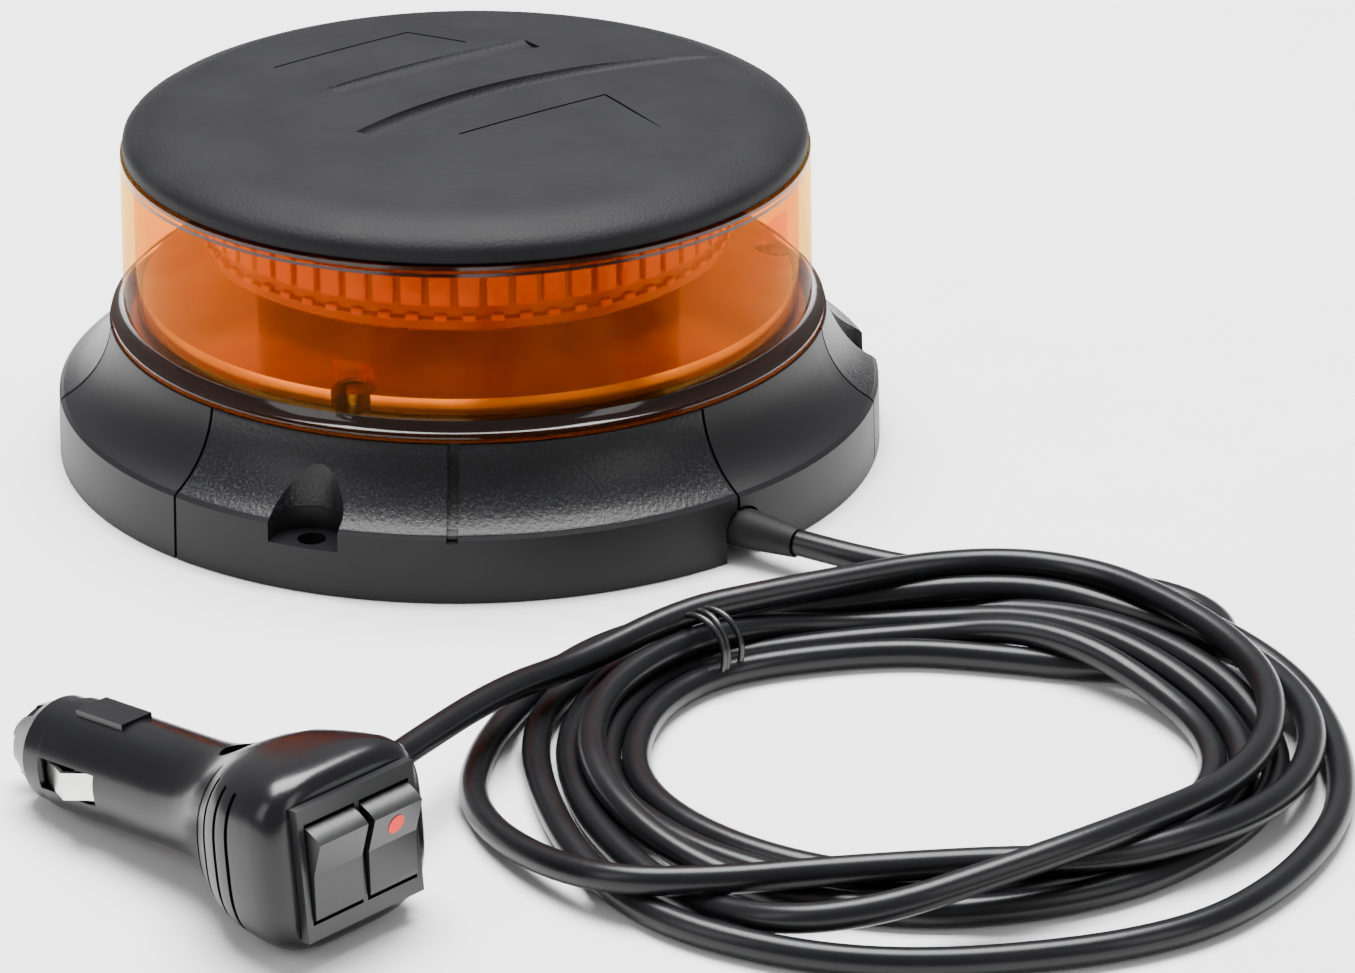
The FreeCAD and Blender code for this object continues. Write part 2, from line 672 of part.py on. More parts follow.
def tube_along(points, bends, radius):
    """The solid of a round tube on straight runs joined by tangent arcs."""
    corners = [FreeCAD.Vector(*point) for point in points]
    edges = []
    cursor = corners[0]
    for i in range(1, len(corners) - 1):
        back = (corners[i - 1] - corners[i]).normalize()
        ahead = (corners[i + 1] - corners[i]).normalize()
        turn = math.pi - back.getAngle(ahead)
        cut_back = bends[i - 1] * math.tan(turn / 2)
        start = corners[i] + back * cut_back
        end = corners[i] + ahead * cut_back
        centre = corners[i] + (back + ahead).normalize() * (bends[i - 1] / math.cos(turn / 2))
        middle = centre + (corners[i] - centre).normalize() * bends[i - 1]
        if (start - cursor).Length > 1e-6:
            edges.append(Part.LineSegment(cursor, start).toShape())
        edges.append(Part.Arc(start, middle, end).toShape())
        cursor = end
    if (corners[-1] - cursor).Length > 1e-6:
        edges.append(Part.LineSegment(cursor, corners[-1]).toShape())
    path = Part.Wire(edges)
    ring = Part.Wire(Part.Circle(corners[0], corners[1] - corners[0], radius).toShape())
    solid = path.makePipeShell([ring], True, False)
    expected = math.pi * radius * radius * path.Length
    if abs(solid.Volume - expected) > 0.01 * expected:
        raise RuntimeError("a tube's volume is wrong: %.1f for %.1f" % (solid.Volume, expected))
    return solid


def inner_cable():
    gland = [float(size) for size in gland_spot()]
    start = [float(size) for size in along_cable(S.sleeve_inside)]
    height = SIZES["cable_height"]
    top = S.board_height.number - 1.0
    points = [(start[0], start[1], height), (gland[0], gland[1], height), (gland[0], gland[1], top)]
    return wire_run(points, SIZES["cable_bend"], S.cable_radius)


def tub_gland():
    """A rubber bush that seals the cable where it passes the tub's floor."""
    floor_top = S.tub_floor + S.tub_wall
    bush = turned([
        (S.cable_radius, carrier_top() + 0.1), (S.notch_radius + 3.0, carrier_top() + 0.1),
        (S.notch_radius + 3.0, S.tub_floor), (S.notch_radius, S.tub_floor),
        (S.notch_radius, floor_top), (S.notch_radius + 1.6, floor_top),
        (S.notch_radius + 0.4, floor_top + 1.4), (S.cable_radius, floor_top + 1.4)])
    return settle(bush, *gland_spot(), 0)


def breather_vent():
    floor_top = S.tub_floor + S.tub_wall
    vent = turned([(0, S.tub_floor), (2.0, S.tub_floor), (2.0, floor_top), (4.0, floor_top),
                   (3.2, floor_top + 1.2), (0, floor_top + 1.2)])
    return settle(vent, *polar(S.vent_circle, 160), 0)


def lamp_leads():
    lead = SIZES["lead_place"]
    reach = S.hub_radius.number + 0.02
    up = strip_middle().number
    bottom = (S.board_height + S.board_sheet).number
    return wire_run([(lead, 0, bottom), (lead, 0, up), (reach, 0, up)], 4.0, S.lead_radius)


def strip_middle():
    return (S.hub_bottom + hub_plate_bottom()) / 2


def hub_plate_bottom():
    return S.lens_top - S.hub_plate


keep("inner_tub", inner_tub())
keep("driver_board", driver_board())
keep("board_screws", ring_of(board_screw, BOARD_AZIMUTHS))
keep("driver_chips", driver_chips())
keep("driver_coil", driver_coil())
keep("driver_capacitors", driver_capacitors())
keep("inner_cable", inner_cable())
keep("tub_gland", tub_gland())
keep("breather_vent", breather_vent())
keep("lamp_leads", lamp_leads())

# ---------------------------------------------------------------- lamp and optics


def heat_sink():
    bottom = hub_plate_bottom()
    hub = turned([
        (S.post_bolt, bottom), (S.hub_radius - S.hub_wall, bottom),
        (S.hub_radius - S.hub_wall, S.hub_bottom), (S.hub_radius, S.hub_bottom),
        (S.hub_radius, bottom), (S.hub_flange, bottom), (S.hub_flange, S.lens_top),
        (S.post_bolt, S.lens_top)])
    tools = [cylinder(S.screw_radius, bottom - 1, S.lens_top + 1, *polar(S.cap_boss_circle, a))
             for a in BOARD_AZIMUTHS]
    feed = along(cylinder(S.lead_radius, 0, 20), (1, 0, 0))
    tools.append(settle(feed, S.hub_radius - S.hub_wall - 4, 0, strip_middle()))
    return cut(hub, tools)


def led(number):
    turn = 360.0 / LED_COUNT * (number + 0.5)
    inner = S.hub_radius + S.strip_thickness
    half = S.led_size / 2
    return turned_box((inner, -half, strip_middle() - half),
                      (inner + S.led_depth, half, strip_middle() + half), turn)


def optic_ring():
    top = hub_plate_bottom()
    wall = S.optic_wall
    lip = S.optic_radius + 0.6
    return turned([
        (S.optic_inner, S.optic_bottom + 0.9), (lip - 0.6, S.optic_bottom),
        (lip, S.optic_bottom + 0.6),
        (lip, S.optic_bottom + S.optic_lip), (S.optic_radius, S.optic_bottom + S.optic_lip + 0.6),
        (S.optic_radius, top), (S.optic_radius - wall - 1.5, top),
        (S.optic_radius - wall, top - 3), (S.optic_radius - wall, S.optic_bottom + 3.4),
        (S.optic_inner, S.optic_bottom + 2.6)])


def reflector_bell():
    """A bright bell that throws the light outwards, with a skirt that stands on the tub."""
    rim = S.bell_rim
    seat = S.deck_height + S.tub_flange
    sheet_in = S.bell_sheet
    bell = turned([
        (rim, seat), (rim, S.bell_rim_height),
        (S.bell_corner, S.bell_top, -S.bell_curve), (S.post_radius + S.fit, S.bell_top),
        (S.post_radius + S.fit, S.bell_top - sheet_in),
        (S.bell_corner - 0.6, S.bell_top - sheet_in),
        (rim - sheet_in, S.bell_rim_height - sheet_in * 0.5, S.bell_curve), (rim - sheet_in, seat)])
    tools = [cylinder(S.boss_radius + S.fit, seat - 1, S.boss_top + 2, *polar(boss_circle(), a))
             for a in lens_screw_azimuths()]
    tools.append(cylinder(S.lead_radius + 0.4, S.bell_top - 4, S.bell_top + 2, S.lead_place, 0))
    return cut(bell, tools)


def centre_post():
    return tube_ring(S.post_radius, S.post_bore, S.tub_floor + S.tub_wall, hub_plate_bottom())


def post_bolt():
    return screw(0, 0, S.tub_floor - 2.4, S.tub_floor, S.lens_top, S.screw_head + 1, S.post_bolt)


keep("heat_sink", heat_sink())
keep("led_strip", tube_ring(S.hub_radius + S.strip_thickness, S.hub_radius,
                            S.hub_bottom + S.strip_margin, hub_plate_bottom() - S.strip_margin))
keep("leds", group([led(number) for number in range(LED_COUNT)]))
keep("optic_ring", optic_ring())
keep("reflector_bell", reflector_bell())
keep("centre_post", centre_post())
keep("post_bolt", post_bolt())

# ---------------------------------------------------------------- lens, seals and cap


def outer_lens():
    bottom = S.deck_height + S.lens_gap
    inside = S.lens_radius - S.lens_wall
    top_out = S.lens_radius - S.lens_draft
    ledge = S.lens_top - S.lip_step
    step = inside - S.lip_step * 2
    wall = turned([
        (inside, bottom), (S.flange_radius, bottom), (S.flange_radius, bottom + S.flange_edge),
        (S.lens_radius, bottom + S.flange_rise, -S.flange_arc), (top_out, S.lens_top), (step, S.lens_top),
        (step, ledge), (inside - S.lip_width, ledge),
        (inside - S.lip_width, S.lens_top - S.lip_depth),
        (inside - 0.4, S.lens_top - S.lip_depth)])
    bosses = []
    for azimuth in lens_screw_azimuths():
        spot = polar(boss_circle(), azimuth)
        post = cylinder(S.boss_radius, S.deck_height, S.boss_top, *spot)
        slope = turned_box((boss_circle() - 14, -8, S.boss_top - S.boss_slope),
                           (boss_circle() + 14, 8, S.boss_top + S.boss_slope), azimuth)
        bosses.append(cut(post, [sloped(slope, azimuth)]))
    body = fuse([wall] + bosses)
    holes = [cylinder(S.screw_radius, S.deck_height - 1, S.deck_height + 7,
                      *polar(boss_circle(), a)) for a in lens_screw_azimuths()]
    return cut(body, holes)


def sloped(slab, azimuth):
    """Lean a slab so that it cuts a boss off at a steep slope that falls inwards."""
    turn = math.radians(azimuth)
    across = FreeCAD.Vector(math.cos(turn), math.sin(turn), 0)
    lean = FreeCAD.Rotation(across, -38.0)
    held = document.addObject("Part::Compound", "Leaning")
    held.Links = [slab]
    pivot = FreeCAD.Vector(*[float(c) for c in polar(boss_circle() + S.boss_radius, azimuth)],
                           (S.boss_top - S.boss_slope).number)
    held.Placement = FreeCAD.Placement(pivot - lean.multVec(pivot), lean)
    lifted = document.addObject("Part::Compound", "Lifted")
    lifted.Links = [held]
    bind(lifted, "Placement.Base.z", S.boss_slope)
    return lifted


def lens_screw(azimuth):
    under_deck = S.deck_height - S.deck_thickness
    return screw(*polar(boss_circle(), azimuth), under_deck - 2, under_deck, S.deck_height + 6)


def cap_under():
    """The height of the cap's rim, where it covers the lens."""
    return S.lens_top + S.lens_gap


def top_cap():
    rim_top = cap_under() + S.cap_rim
    shoulder = S.cap_radius - S.cap_shoulder
    shoulder_height = S.cap_crown - S.cap_rise
    spigot = S.lens_radius - S.lens_wall - S.lip_width - S.spigot_play
    under = cap_under()
    dome = turned([
        (0, under + 1), (spigot - S.spigot_wall, under + 1),
        (spigot - S.spigot_wall, under - S.spigot_depth),
        (spigot, under - S.spigot_depth), (spigot, under), (S.cap_radius, under),
        (S.cap_radius, rim_top), (shoulder, shoulder_height, S.cap_arc),
        (0, S.cap_crown, S.crown_arc)])
    inside = turned([
        (0, under - 9), (spigot - S.spigot_wall, under - 9),
        (spigot - S.spigot_wall, shoulder_height - S.cap_wall - 1.0),
        (0, S.cap_crown - S.cap_wall)])
    bosses = [cylinder(S.cap_boss_radius, S.lens_top, S.cap_crown - S.cap_wall,
                       *polar(S.cap_boss_circle, a)) for a in BOARD_AZIMUTHS]
    shell = cut(dome, [inside])
    body = fuse([shell] + bosses)
    tools = [cylinder(S.screw_radius, S.lens_top - 1, S.lens_top + 5,
                      *polar(S.cap_boss_circle, a)) for a in BOARD_AZIMUTHS]
    tools.append(front_bevel(rim_top))
    return cut(body, tools)


def front_bevel(rim_top):
    """A cone-shaped cutter that bevels only the front of the crown."""
    ring = turned([
        (S.cap_radius - S.cap_bevel, S.cap_crown - S.cap_bevel_drop),
        (S.cap_radius + 0.5, rim_top - 0.2), (S.cap_radius + S.past, rim_top - 0.2),
        (S.cap_radius + S.past, S.cap_crown + S.past),
        (S.cap_radius - S.cap_bevel, S.cap_crown + S.past)])
    front = box((-FAR, -FAR, 0), (FAR, -S.bevel_side, FAR))
    return common(ring, front)


def cap_screw(azimuth):
    bottom = hub_plate_bottom()
    return screw(*polar(S.cap_boss_circle, azimuth), bottom - 2, bottom, S.lens_top + 4.6)


keep("outer_lens", outer_lens())
keep("lens_screws", ring_of(lens_screw, lens_screw_azimuths()))
keep("lens_gasket", tube_ring(S.flange_radius - S.gasket_inset + S.gasket_width,
                              S.flange_radius - S.gasket_inset,
                              S.deck_height - S.gasket_depth, S.deck_height + S.lens_gap))
keep("top_cap", top_cap())
keep("cap_screws", ring_of(cap_screw, BOARD_AZIMUTHS))
keep("cap_seal", tube_ring(S.lens_radius - S.lens_wall - S.seal_inset,
                           S.lens_radius - S.lens_wall - S.seal_inset - S.seal_width,
                           S.lens_top - S.lip_step, cap_under()))

# ---------------------------------------------------------------- cord


def exit_sleeve():
    """The tapered rubber sleeve that guards the cable where it leaves the skirt."""
    shape = turned([
        (S.cable_radius, -S.sleeve_inside), (S.sleeve_radius, -S.sleeve_inside),
        (S.sleeve_radius, 1.0), (S.sleeve_tip, S.sleeve_outside), (S.cable_radius, S.sleeve_outside)])
    laid = along(shape, heading_vector())
    return settle(laid, *cable_exit(), S.cable_height)


def route_tube(points):
    """A tube whose bends are as large as their runs allow; its radii are printed."""
    corners = [FreeCAD.Vector(*point) for point in points]
    bends = []
    for i in range(1, len(corners) - 1):
        back, ahead = corners[i - 1] - corners[i], corners[i + 1] - corners[i]
        turn = math.pi - back.getAngle(ahead)
        bends.append(0.45 * min(back.Length, ahead.Length) / math.tan(turn / 2))
    solid = tube_along(points, bends, SIZES["cable_radius"])
    print("bend radii", [round(bend, 1) for bend in bends], "runs",
          [round((b - a).Length, 1) for a, b in zip(corners, corners[1:])])
    feature = document.addObject("Part::Feature", "Cord")
    feature.Shape = solid
    return feature


def from_exit(x, y, z=0.0):
    """A place given from where the cable leaves the skirt, on the ground."""
    exit_x, exit_y = [float(size) for size in cable_exit()]
    return exit_x + float(x), exit_y + float(y), float(z)


def beacon_lead():
    """The cable from the inner end of its sleeve to the coil."""
    height = SIZES["cable_height"]
    ends = [along_cable(S.sleeve_inside), along_cable(-(S.sleeve_outside + 3))]
    return route_tube([(float(x), float(y), height) for x, y in ends]
                      + [from_exit(*point) for point in BEACON_LEAD])


def oval(name, edges):
    """An upright slab with the outline of the coil or of its eye."""
    points = []
    for index, edge in enumerate(edges):
        turn = 2 * math.pi * index / len(edges)
        radius = SIZES[name + "_radius"] + edge
        place = from_exit(SIZES["coil_x"], SIZES["coil_y"])
        points.append(FreeCAD.Vector(*place) + FreeCAD.Vector(math.cos(turn), math.sin(turn), 0)
                      * radius)
    ring = Part.BSplineCurve()
    ring.interpolate(points, PeriodicFlag=True)
    tall = FreeCAD.Vector(0, 0, SIZES["coil_height"] * (1 if name == "coil" else 3))
    return Part.Face(Part.Wire(ring.toShape())).extrude(tall)


def cable_coil():
    eye = oval("eye", EYE_EDGE)
    eye.translate(FreeCAD.Vector(0, 0, -SIZES["coil_height"]))
    rolled = oval("coil", COIL_EDGE).cut(eye)
    flat = [edge for edge in rolled.Edges if edge.BoundBox.ZLength < 0.1]
    feature = document.addObject("Part::Feature", "Coil")
    feature.Shape = rolled.makeFillet(SIZES["coil_round"], flat)
    return feature


keep("exit_sleeve", exit_sleeve())
keep("beacon_lead", beacon_lead())
keep("cable_coil", cable_coil())

# ---------------------------------------------------------------- plug
# The plug is built lying along +X with its tip at the origin, and then set down on the ground.


def plug_placement():
    """The plug rests on the front of its barrel and on the underside of its head."""
    nose = SIZES["plug_radius"]
    head = SIZES["head_height"] / 2
    ring = SIZES["nose_back"] + 0.1
    reach = SIZES["plug_length"] - SIZES["face_length"] - ring
    pitch = math.atan2(head - nose, reach)
    lift = nose * math.cos(pitch) - ring * math.sin(pitch)
    yaw = FreeCAD.Rotation(FreeCAD.Vector(0, 0, 1), SIZES["plug_heading"])
    tilt = FreeCAD.Rotation(FreeCAD.Vector(0, 1, 0), -math.degrees(pitch))
    base = FreeCAD.Vector(*from_exit(SIZES["plug_tip_x"], SIZES["plug_tip_y"], lift + 0.02))
    return FreeCAD.Placement(base, yaw.multiply(tilt))


PLUG = plug_placement()


def keep_plug(label, thing):
    return keep(label, place_at(thing, PLUG))


def lying(profile):
    """A body turned about the plug's axis from (along, radius) points."""
    return turned(profile, "H_Axis")


def section(x, width, height, corner):
    """A rounded rectangle across the plug's axis, as a closed wire."""
    plane = document.addObject("Part::Feature", "Section")
    half_w, half_h = float(width) / 2, float(height) / 2
    corner = min(float(corner), half_w - 1.5, half_h - 1.5)
    wires = []
    quadrants = [(1, 1, 0), (-1, 1, 90), (-1, -1, 180), (1, -1, 270)]
    for side, up, start in quadrants:
        centre = FreeCAD.Vector(float(x), side * (half_w - corner), up * (half_h - corner))
        points = []
        for step in (0, 45, 90):
            turn = math.radians(start + step)
            points.append(centre + FreeCAD.Vector(0, math.cos(turn), math.sin(turn)) * corner)
        wires.append(points)
    edges = []
    for index, points in enumerate(wires):
        edges.append(Part.Arc(*points).toShape())
        after = wires[(index + 1) % 4][0]
        edges.append(Part.LineSegment(points[2], after).toShape())
    plane.Shape = Part.Wire(edges)
    return plane


def loft(sections):
    body = document.addObject("Part::Loft", "Loft")
    body.Sections = sections
    body.Solid = True
    body.Ruled = True
    return body


def head_form(shrink):
    """The flared head, from the neck to the face, shrunk all round by a wall."""
    neck = 2 * (S.neck_radius - shrink)
    wide = S.head_width - 2 * shrink
    tall = S.head_height - 2 * shrink
    return loft([
        section(S.neck_end - 5, neck, neck, FAR),
        section(S.neck_end - 1, neck, neck, FAR),
        section(S.head_start - 3, wide * 0.80, tall * 0.78, S.head_corner + 2),
        section(S.head_start + 3, wide * 0.97, tall * 0.92, S.head_corner),
        section(S.plug_length - S.face_length, wide, tall, S.head_corner),
        section(S.plug_length - shrink, wide - S.head_taper, tall - S.head_taper,
                S.head_corner - 1)])


def plug_shell():
    """The whole outer moulding, before it is parted at mid height."""
    boss = S.nose_skirt - 0.1
    barrel = lying([(S.nose_face + 1, 0), (S.nose_face + 1, boss), (S.nose_back + 0.1, boss),
                    (S.nose_back + 0.1, S.plug_radius), (S.neck_end - 5, S.neck_radius),
                    (S.neck_end - 5, 0)])
    outside = fuse([barrel, head_form(Size(0))])
    room = lying([(S.nose_face, 0), (S.nose_face, boss - S.thread_wall),
                  (S.nose_back + 1, boss - S.thread_wall),
                  (S.nose_back + 1, S.plug_radius - S.plug_wall),
                  (S.neck_end - 4, S.neck_radius - S.plug_wall), (S.neck_end - 4, 0)])
    inside = fuse([room, head_form(S.head_wall)])
    wide = S.bezel_width / 2 - S.bezel_edge + S.fit
    tall = S.bezel_height / 2 - S.bezel_edge + S.fit
    window = box((S.plug_length - 3.5, -wide, -tall), (S.plug_length + 3, wide, tall))
    tools = [window]
    for side in (-1, 1):
        reach = sorted([side * (S.plug_radius.number - 4), side * (S.plug_radius.number + 4)])
        tools.append(box((S.nose_back + 1, reach[0], -S.contact_width / 2 - S.fit),
                         (S.nose_back + 16, reach[1], S.contact_width / 2 + S.fit)))
        for rib in range(4):
            start = S.head_start + S.grip_pitch * rib
            edge = sorted([side * (S.head_width / 2 - S.grip_depth).number,
                           side * (S.head_width.number / 2 + 3)])
            tools.append(box((start, edge[0], -S.head_height / 2),
                             (start + S.grip_width, edge[1], S.head_height / 2)))
    exit_hole = along(cylinder(S.cable_radius + 1.2, -8, 30), boot_vector())
    tools.append(settle(exit_hole, S.cord_exit, S.head_width / 2, 0))
    hollow = cut(cut(outside, [inside]), tools)
    saddle = S.fuse_radius + S.fit + S.sleeve_wall
    ribs = [lying([(start, saddle), (start, S.plug_radius - 0.8), (start + 2, S.plug_radius - 0.8),
                   (start + 2, saddle)]) for start in (rib_start(), rib_start() + 9)]
    boss_spot = S.neck_end + 5
    pillar = common(cylinder(3.4, -FAR, FAR, boss_spot, 0), outside)
    solid = fuse([hollow, pillar] + ribs)
    screw_way = [cylinder(S.screw_radius, -FAR, FAR, boss_spot, 0),
                 cylinder(S.screw_head + 0.4, 6.5, FAR, boss_spot, 0)]
    return cut(solid, screw_way)


def rib_start():
    """Where the first rib that carries the fuse sleeve stands."""
    return S.nose_back + 17


def half_of(shell, side):
    """The half of the plug's shell above (1) or below (-1) the parting line."""
    low, high = (0, FAR) if side > 0 else (-FAR, 0)
    return common(shell, box((-10, -FAR, low), (FAR, FAR, high)))


def nose_cap():
    body = lying([
        (S.nose_front, S.pin_radius + S.fit), (S.nose_front, S.nose_tip_radius),
        (S.nose_front + S.nose_taper - 0.6, S.nose_radius - 0.5),
        (S.nose_front + S.nose_taper, S.nose_radius),
        (S.nose_back, S.nose_radius), (S.nose_back, S.nose_skirt), (S.nose_face, S.nose_skirt),
        (S.nose_face, S.pin_radius + S.fit)])
    notches = []
    for turn in (0, 90, 180, 270):
        notch = box((S.nose_front - 1, -1.6, S.nose_tip_radius - 0.4),
                    (S.nose_front + 3.4, 1.6, FAR))
        held = document.addObject("Part::Compound", "Notch")
        held.Links = [notch]
        held.Placement = FreeCAD.Placement(
            FreeCAD.Vector(0, 0, 0), FreeCAD.Rotation(FreeCAD.Vector(1, 0, 0), turn + 20))
        notches.append(held)
    return cut(body, notches)


def side_contact(side):
    """A bent leaf that springs out through a slot in the barrel."""
    start = S.nose_back + 1.6
    out = S.plug_radius
    points = [(start, out - 1.6), (start + 0.6, out - 1.4), (start + 7.5, out + 1.5),
              (start + 11, out - 0.8), (rib_start() - 0.4, out - 2.6),
              (rib_start() - 0.4, out - 3.3), (start + 10.6, out - 1.6),
              (start + 7.3, out + 0.7), (start + 0.4, out - 2.4)]
    if side < 0:
        points = [(x, -y) for x, y in points]
    return padded("XY_Plane", points, S.contact_width)


def tip_pin():
    tail = S.nose_back + 0.5
    collar = S.nose_face + S.washer_sheet
    return lying([
        (-S.pin_out, 0), (0.3 - S.pin_out, 1.4), (1.6 - S.pin_out, S.pin_radius - 0.6),
        (2.6 - S.pin_out, S.pin_radius), (collar, S.pin_radius),
        (collar, S.pin_collar), (collar + S.collar_thickness, S.pin_collar),
        (collar + S.collar_thickness, S.pin_tail), (tail, S.pin_tail), (tail, 0)])


def fuse_end():
    return S.nose_back + 0.5 + S.fuse_length


def switch_bezel():
    face = S.plug_length
    front = bezel_front()
    plate = box((face, -S.bezel_width / 2, -S.bezel_height / 2),
                (front, S.bezel_width / 2, S.bezel_height / 2))
    wide = S.bezel_width / 2 - S.bezel_edge
    tall = S.bezel_height / 2 - S.bezel_edge
    rear = box((face - S.past, -wide, -tall), (face + 0.5, wide, tall))
    windows = []
    for side in (-1, 1):
        y = side * S.rocker_place
        windows.append(box((face - 6, y - S.rocker_width / 2 - 0.25, -S.rocker_radius - S.fit),
                           (front + 1, y + S.rocker_width / 2 + 0.25, S.rocker_radius + S.fit)))
    bore = along(cylinder(S.rocker_pin, -FAR, FAR), (0, 1, 0))
    windows.append(settle(bore, *pivot_place()))
    return cut(fuse([plate, rear]), windows)


def bezel_front():
    return S.plug_length + S.bezel_sheet


def pivot_place():
    """The middle of the rockers' pivot pin."""
    return (S.plug_length - 1.0, 0, 0)


def rocker(side):
    """A rocker that is round about its pivot, with its upper edge standing out."""
    x, _, _ = pivot_place()
    y = side * S.rocker_place
    drum = along(cylinder(S.rocker_radius, -S.rocker_width / 2, S.rocker_width / 2), (0, 1, 0))
    settle(drum, x, y, 0)
    front = bezel_front()
    wedge = padded("XZ_Plane", [
        (x - 2.4, -S.rocker_radius - 1), (front + 0.3, -S.rocker_radius - 1),
        (front + 0.6, -S.rocker_radius + 1.4), (front + 1.1, 0),
        (front + S.rocker_proud, S.rocker_radius - 2.6),
        (front + S.rocker_proud, S.rocker_radius + 1),
        (x - 2.4, S.rocker_radius + 1)], S.rocker_width)
    settle(wedge, 0, y, 0)
    solid = common(drum, wedge)
    bore = along(cylinder(S.rocker_pin + S.running, -FAR, FAR), (0, 1, 0))
    tools = [settle(bore, x, 0, 0)]
    if side > 0:
        tools.append(dot_tool())
    return cut(solid, tools)


def dot_tool():
    """The indicator's place in the power rocker."""
    peg = along(cylinder(S.lens_dot, 0, 12), (1, 0, 0))
    return settle(peg, bezel_front() - 0.4, S.rocker_place, S.rocker_radius - 5.4)


def indicator_lens():
    x, _, _ = pivot_place()
    drum = along(cylinder(S.rocker_radius, -S.rocker_width / 2, S.rocker_width / 2), (0, 1, 0))
    settle(drum, x, S.rocker_place, 0)
    front = bezel_front()
    wedge = padded("XZ_Plane", [
        (front - 2.4, 0), (front + 1.2, 0), (front + S.rocker_proud + 0.1, S.rocker_radius - 2.6),
        (front + S.rocker_proud + 0.1, S.rocker_radius + 1), (front - 2.4, S.rocker_radius + 1)],
        S.rocker_width)
    settle(wedge, 0, S.rocker_place, 0)
    return common(common(drum, wedge), dot_tool())


def switch_bodies():
    back = S.plug_length - S.switch_back
    blocks = []
    for side in (-1, 1):
        y = side * S.rocker_place
        blocks.append(box((back, y - 5.4, -8.2), (back + 6.0, y + 5.4, 8.2)))
    return group(blocks)


def plug_board():
    back = S.plug_length - S.switch_back - S.board_sheet
    return box((back, -12.5, -10.5), (back + S.board_sheet, 12.5, 10.5))


def boot_vector():
    """The way the cable leaves the head: sideways, leaning back towards the barrel."""
    lean = math.radians(SIZES["cord_lean"])
    return (-math.sin(lean), math.cos(lean), 0)


def plug_boot():
    """The tapered sleeve where the cable leaves the side of the plug's head."""
    shape = turned([
        (S.cable_radius, -S.boot_inside), (S.cable_radius + 1.2, -S.boot_inside),
        (S.cable_radius + 1.2, 0.6),
        (S.cable_radius + 2.2, 1.4), (S.cable_radius + 0.7, S.boot_length),
        (S.cable_radius, S.boot_length)])
    return settle(along(shape, boot_vector()), S.cord_exit, S.head_width / 2, 0)


shell = plug_shell()
keep_plug("plug_upper_shell", half_of(shell, 1))
keep_plug("plug_lower_shell", half_of(shell, -1))
keep_plug("nose_cap", nose_cap())
keep_plug("nose_washer", lying([
    (S.nose_face, S.pin_radius + S.fit), (S.nose_face, S.pin_collar),
    (S.nose_face + S.washer_sheet, S.pin_collar),
    (S.nose_face + S.washer_sheet, S.pin_radius + S.fit)]))
keep_plug("tip_pin", tip_pin())
keep_plug("fuse", lying([
    (S.nose_back + 0.5, 0), (S.nose_back + 0.5, S.fuse_radius), (fuse_end(), S.fuse_radius),
    (fuse_end(), 0)]))
keep_plug("fuse_sleeve", lying([
    (S.nose_back + 4, S.fuse_radius + S.fit),
    (S.nose_back + 4, S.fuse_radius + S.fit + S.sleeve_wall),
    (fuse_end() - 2, S.fuse_radius + S.fit + S.sleeve_wall),
    (fuse_end() - 2, S.fuse_radius + S.fit)]))
keep_plug("pin_spring", lying([
    (fuse_end(), 1.6), (fuse_end(), 2.6), (fuse_end() + S.spring_length, 2.6),
    (fuse_end() + S.spring_length, 1.6)]))
keep_plug("rear_terminal", box((fuse_end() + S.spring_length, -5, -3),
                               (fuse_end() + S.spring_length + 0.8, 5, 3)))
keep_plug("left_ground_contact", side_contact(-1))
keep_plug("right_ground_contact", side_contact(1))
keep_plug("switch_bezel", switch_bezel())
keep_plug("pattern_rocker", rocker(-1))
keep_plug("power_rocker", rocker(1))
keep_plug("indicator_lens", indicator_lens())
pin_half = S.bezel_width / 2 - S.bezel_edge
rocker_pivot = along(cylinder(S.rocker_pin, -pin_half, pin_half), (0, 1, 0))
keep_plug("rocker_pin", group([settle(rocker_pivot, *pivot_place())]))
keep_plug("switch_bodies", switch_bodies())
keep_plug("plug_board", plug_board())
keep_plug("plug_boot", plug_boot())
shell_screw = turned([(0, -12), (S.screw_radius, -12), (S.screw_radius, 6.5),
                      (S.screw_head, 6.5), (S.screw_head, 8.5), (0, 8.5)])
keep_plug("shell_screw", settle(shell_screw, S.neck_end + 5, 0, 0))


def plug_lead():
    """The cable from inside the plug's boot to the coil."""
    side = FreeCAD.Vector(float(S.cord_exit), SIZES["head_width"] / 2, 0)
    out = FreeCAD.Vector(*boot_vector())
    inner = PLUG.multVec(side - out * SIZES["boot_inside"])
    outer = PLUG.multVec(side + out * (SIZES["boot_length"] + 5))
    return route_tube([tuple(inner), tuple(outer)]
                      + [from_exit(*point) for point in PLUG_LEAD])


keep("plug_lead", plug_lead())


def coil_tie():
    """A flat wire tie round the strands where the turns lie closest."""
    x, y = [float(size) for size in (S.tie_x, S.tie_y)]
    low, high = from_exit(x, y), from_exit(x + SIZES["tie_width"], y + SIZES["tie_span"])
    strap, top = SIZES["tie_strap"], SIZES["coil_height"] + SIZES["tie_strap"]
    band = box(low, (high[0], high[1], top))
    room = box((low[0] - 1, low[1] + strap, strap),
               (high[0] + 1, high[1] - strap, top - strap))
    return cut(band, [room])


keep("coil_tie", coil_tie())

# ---------------------------------------------------------------- checks and files

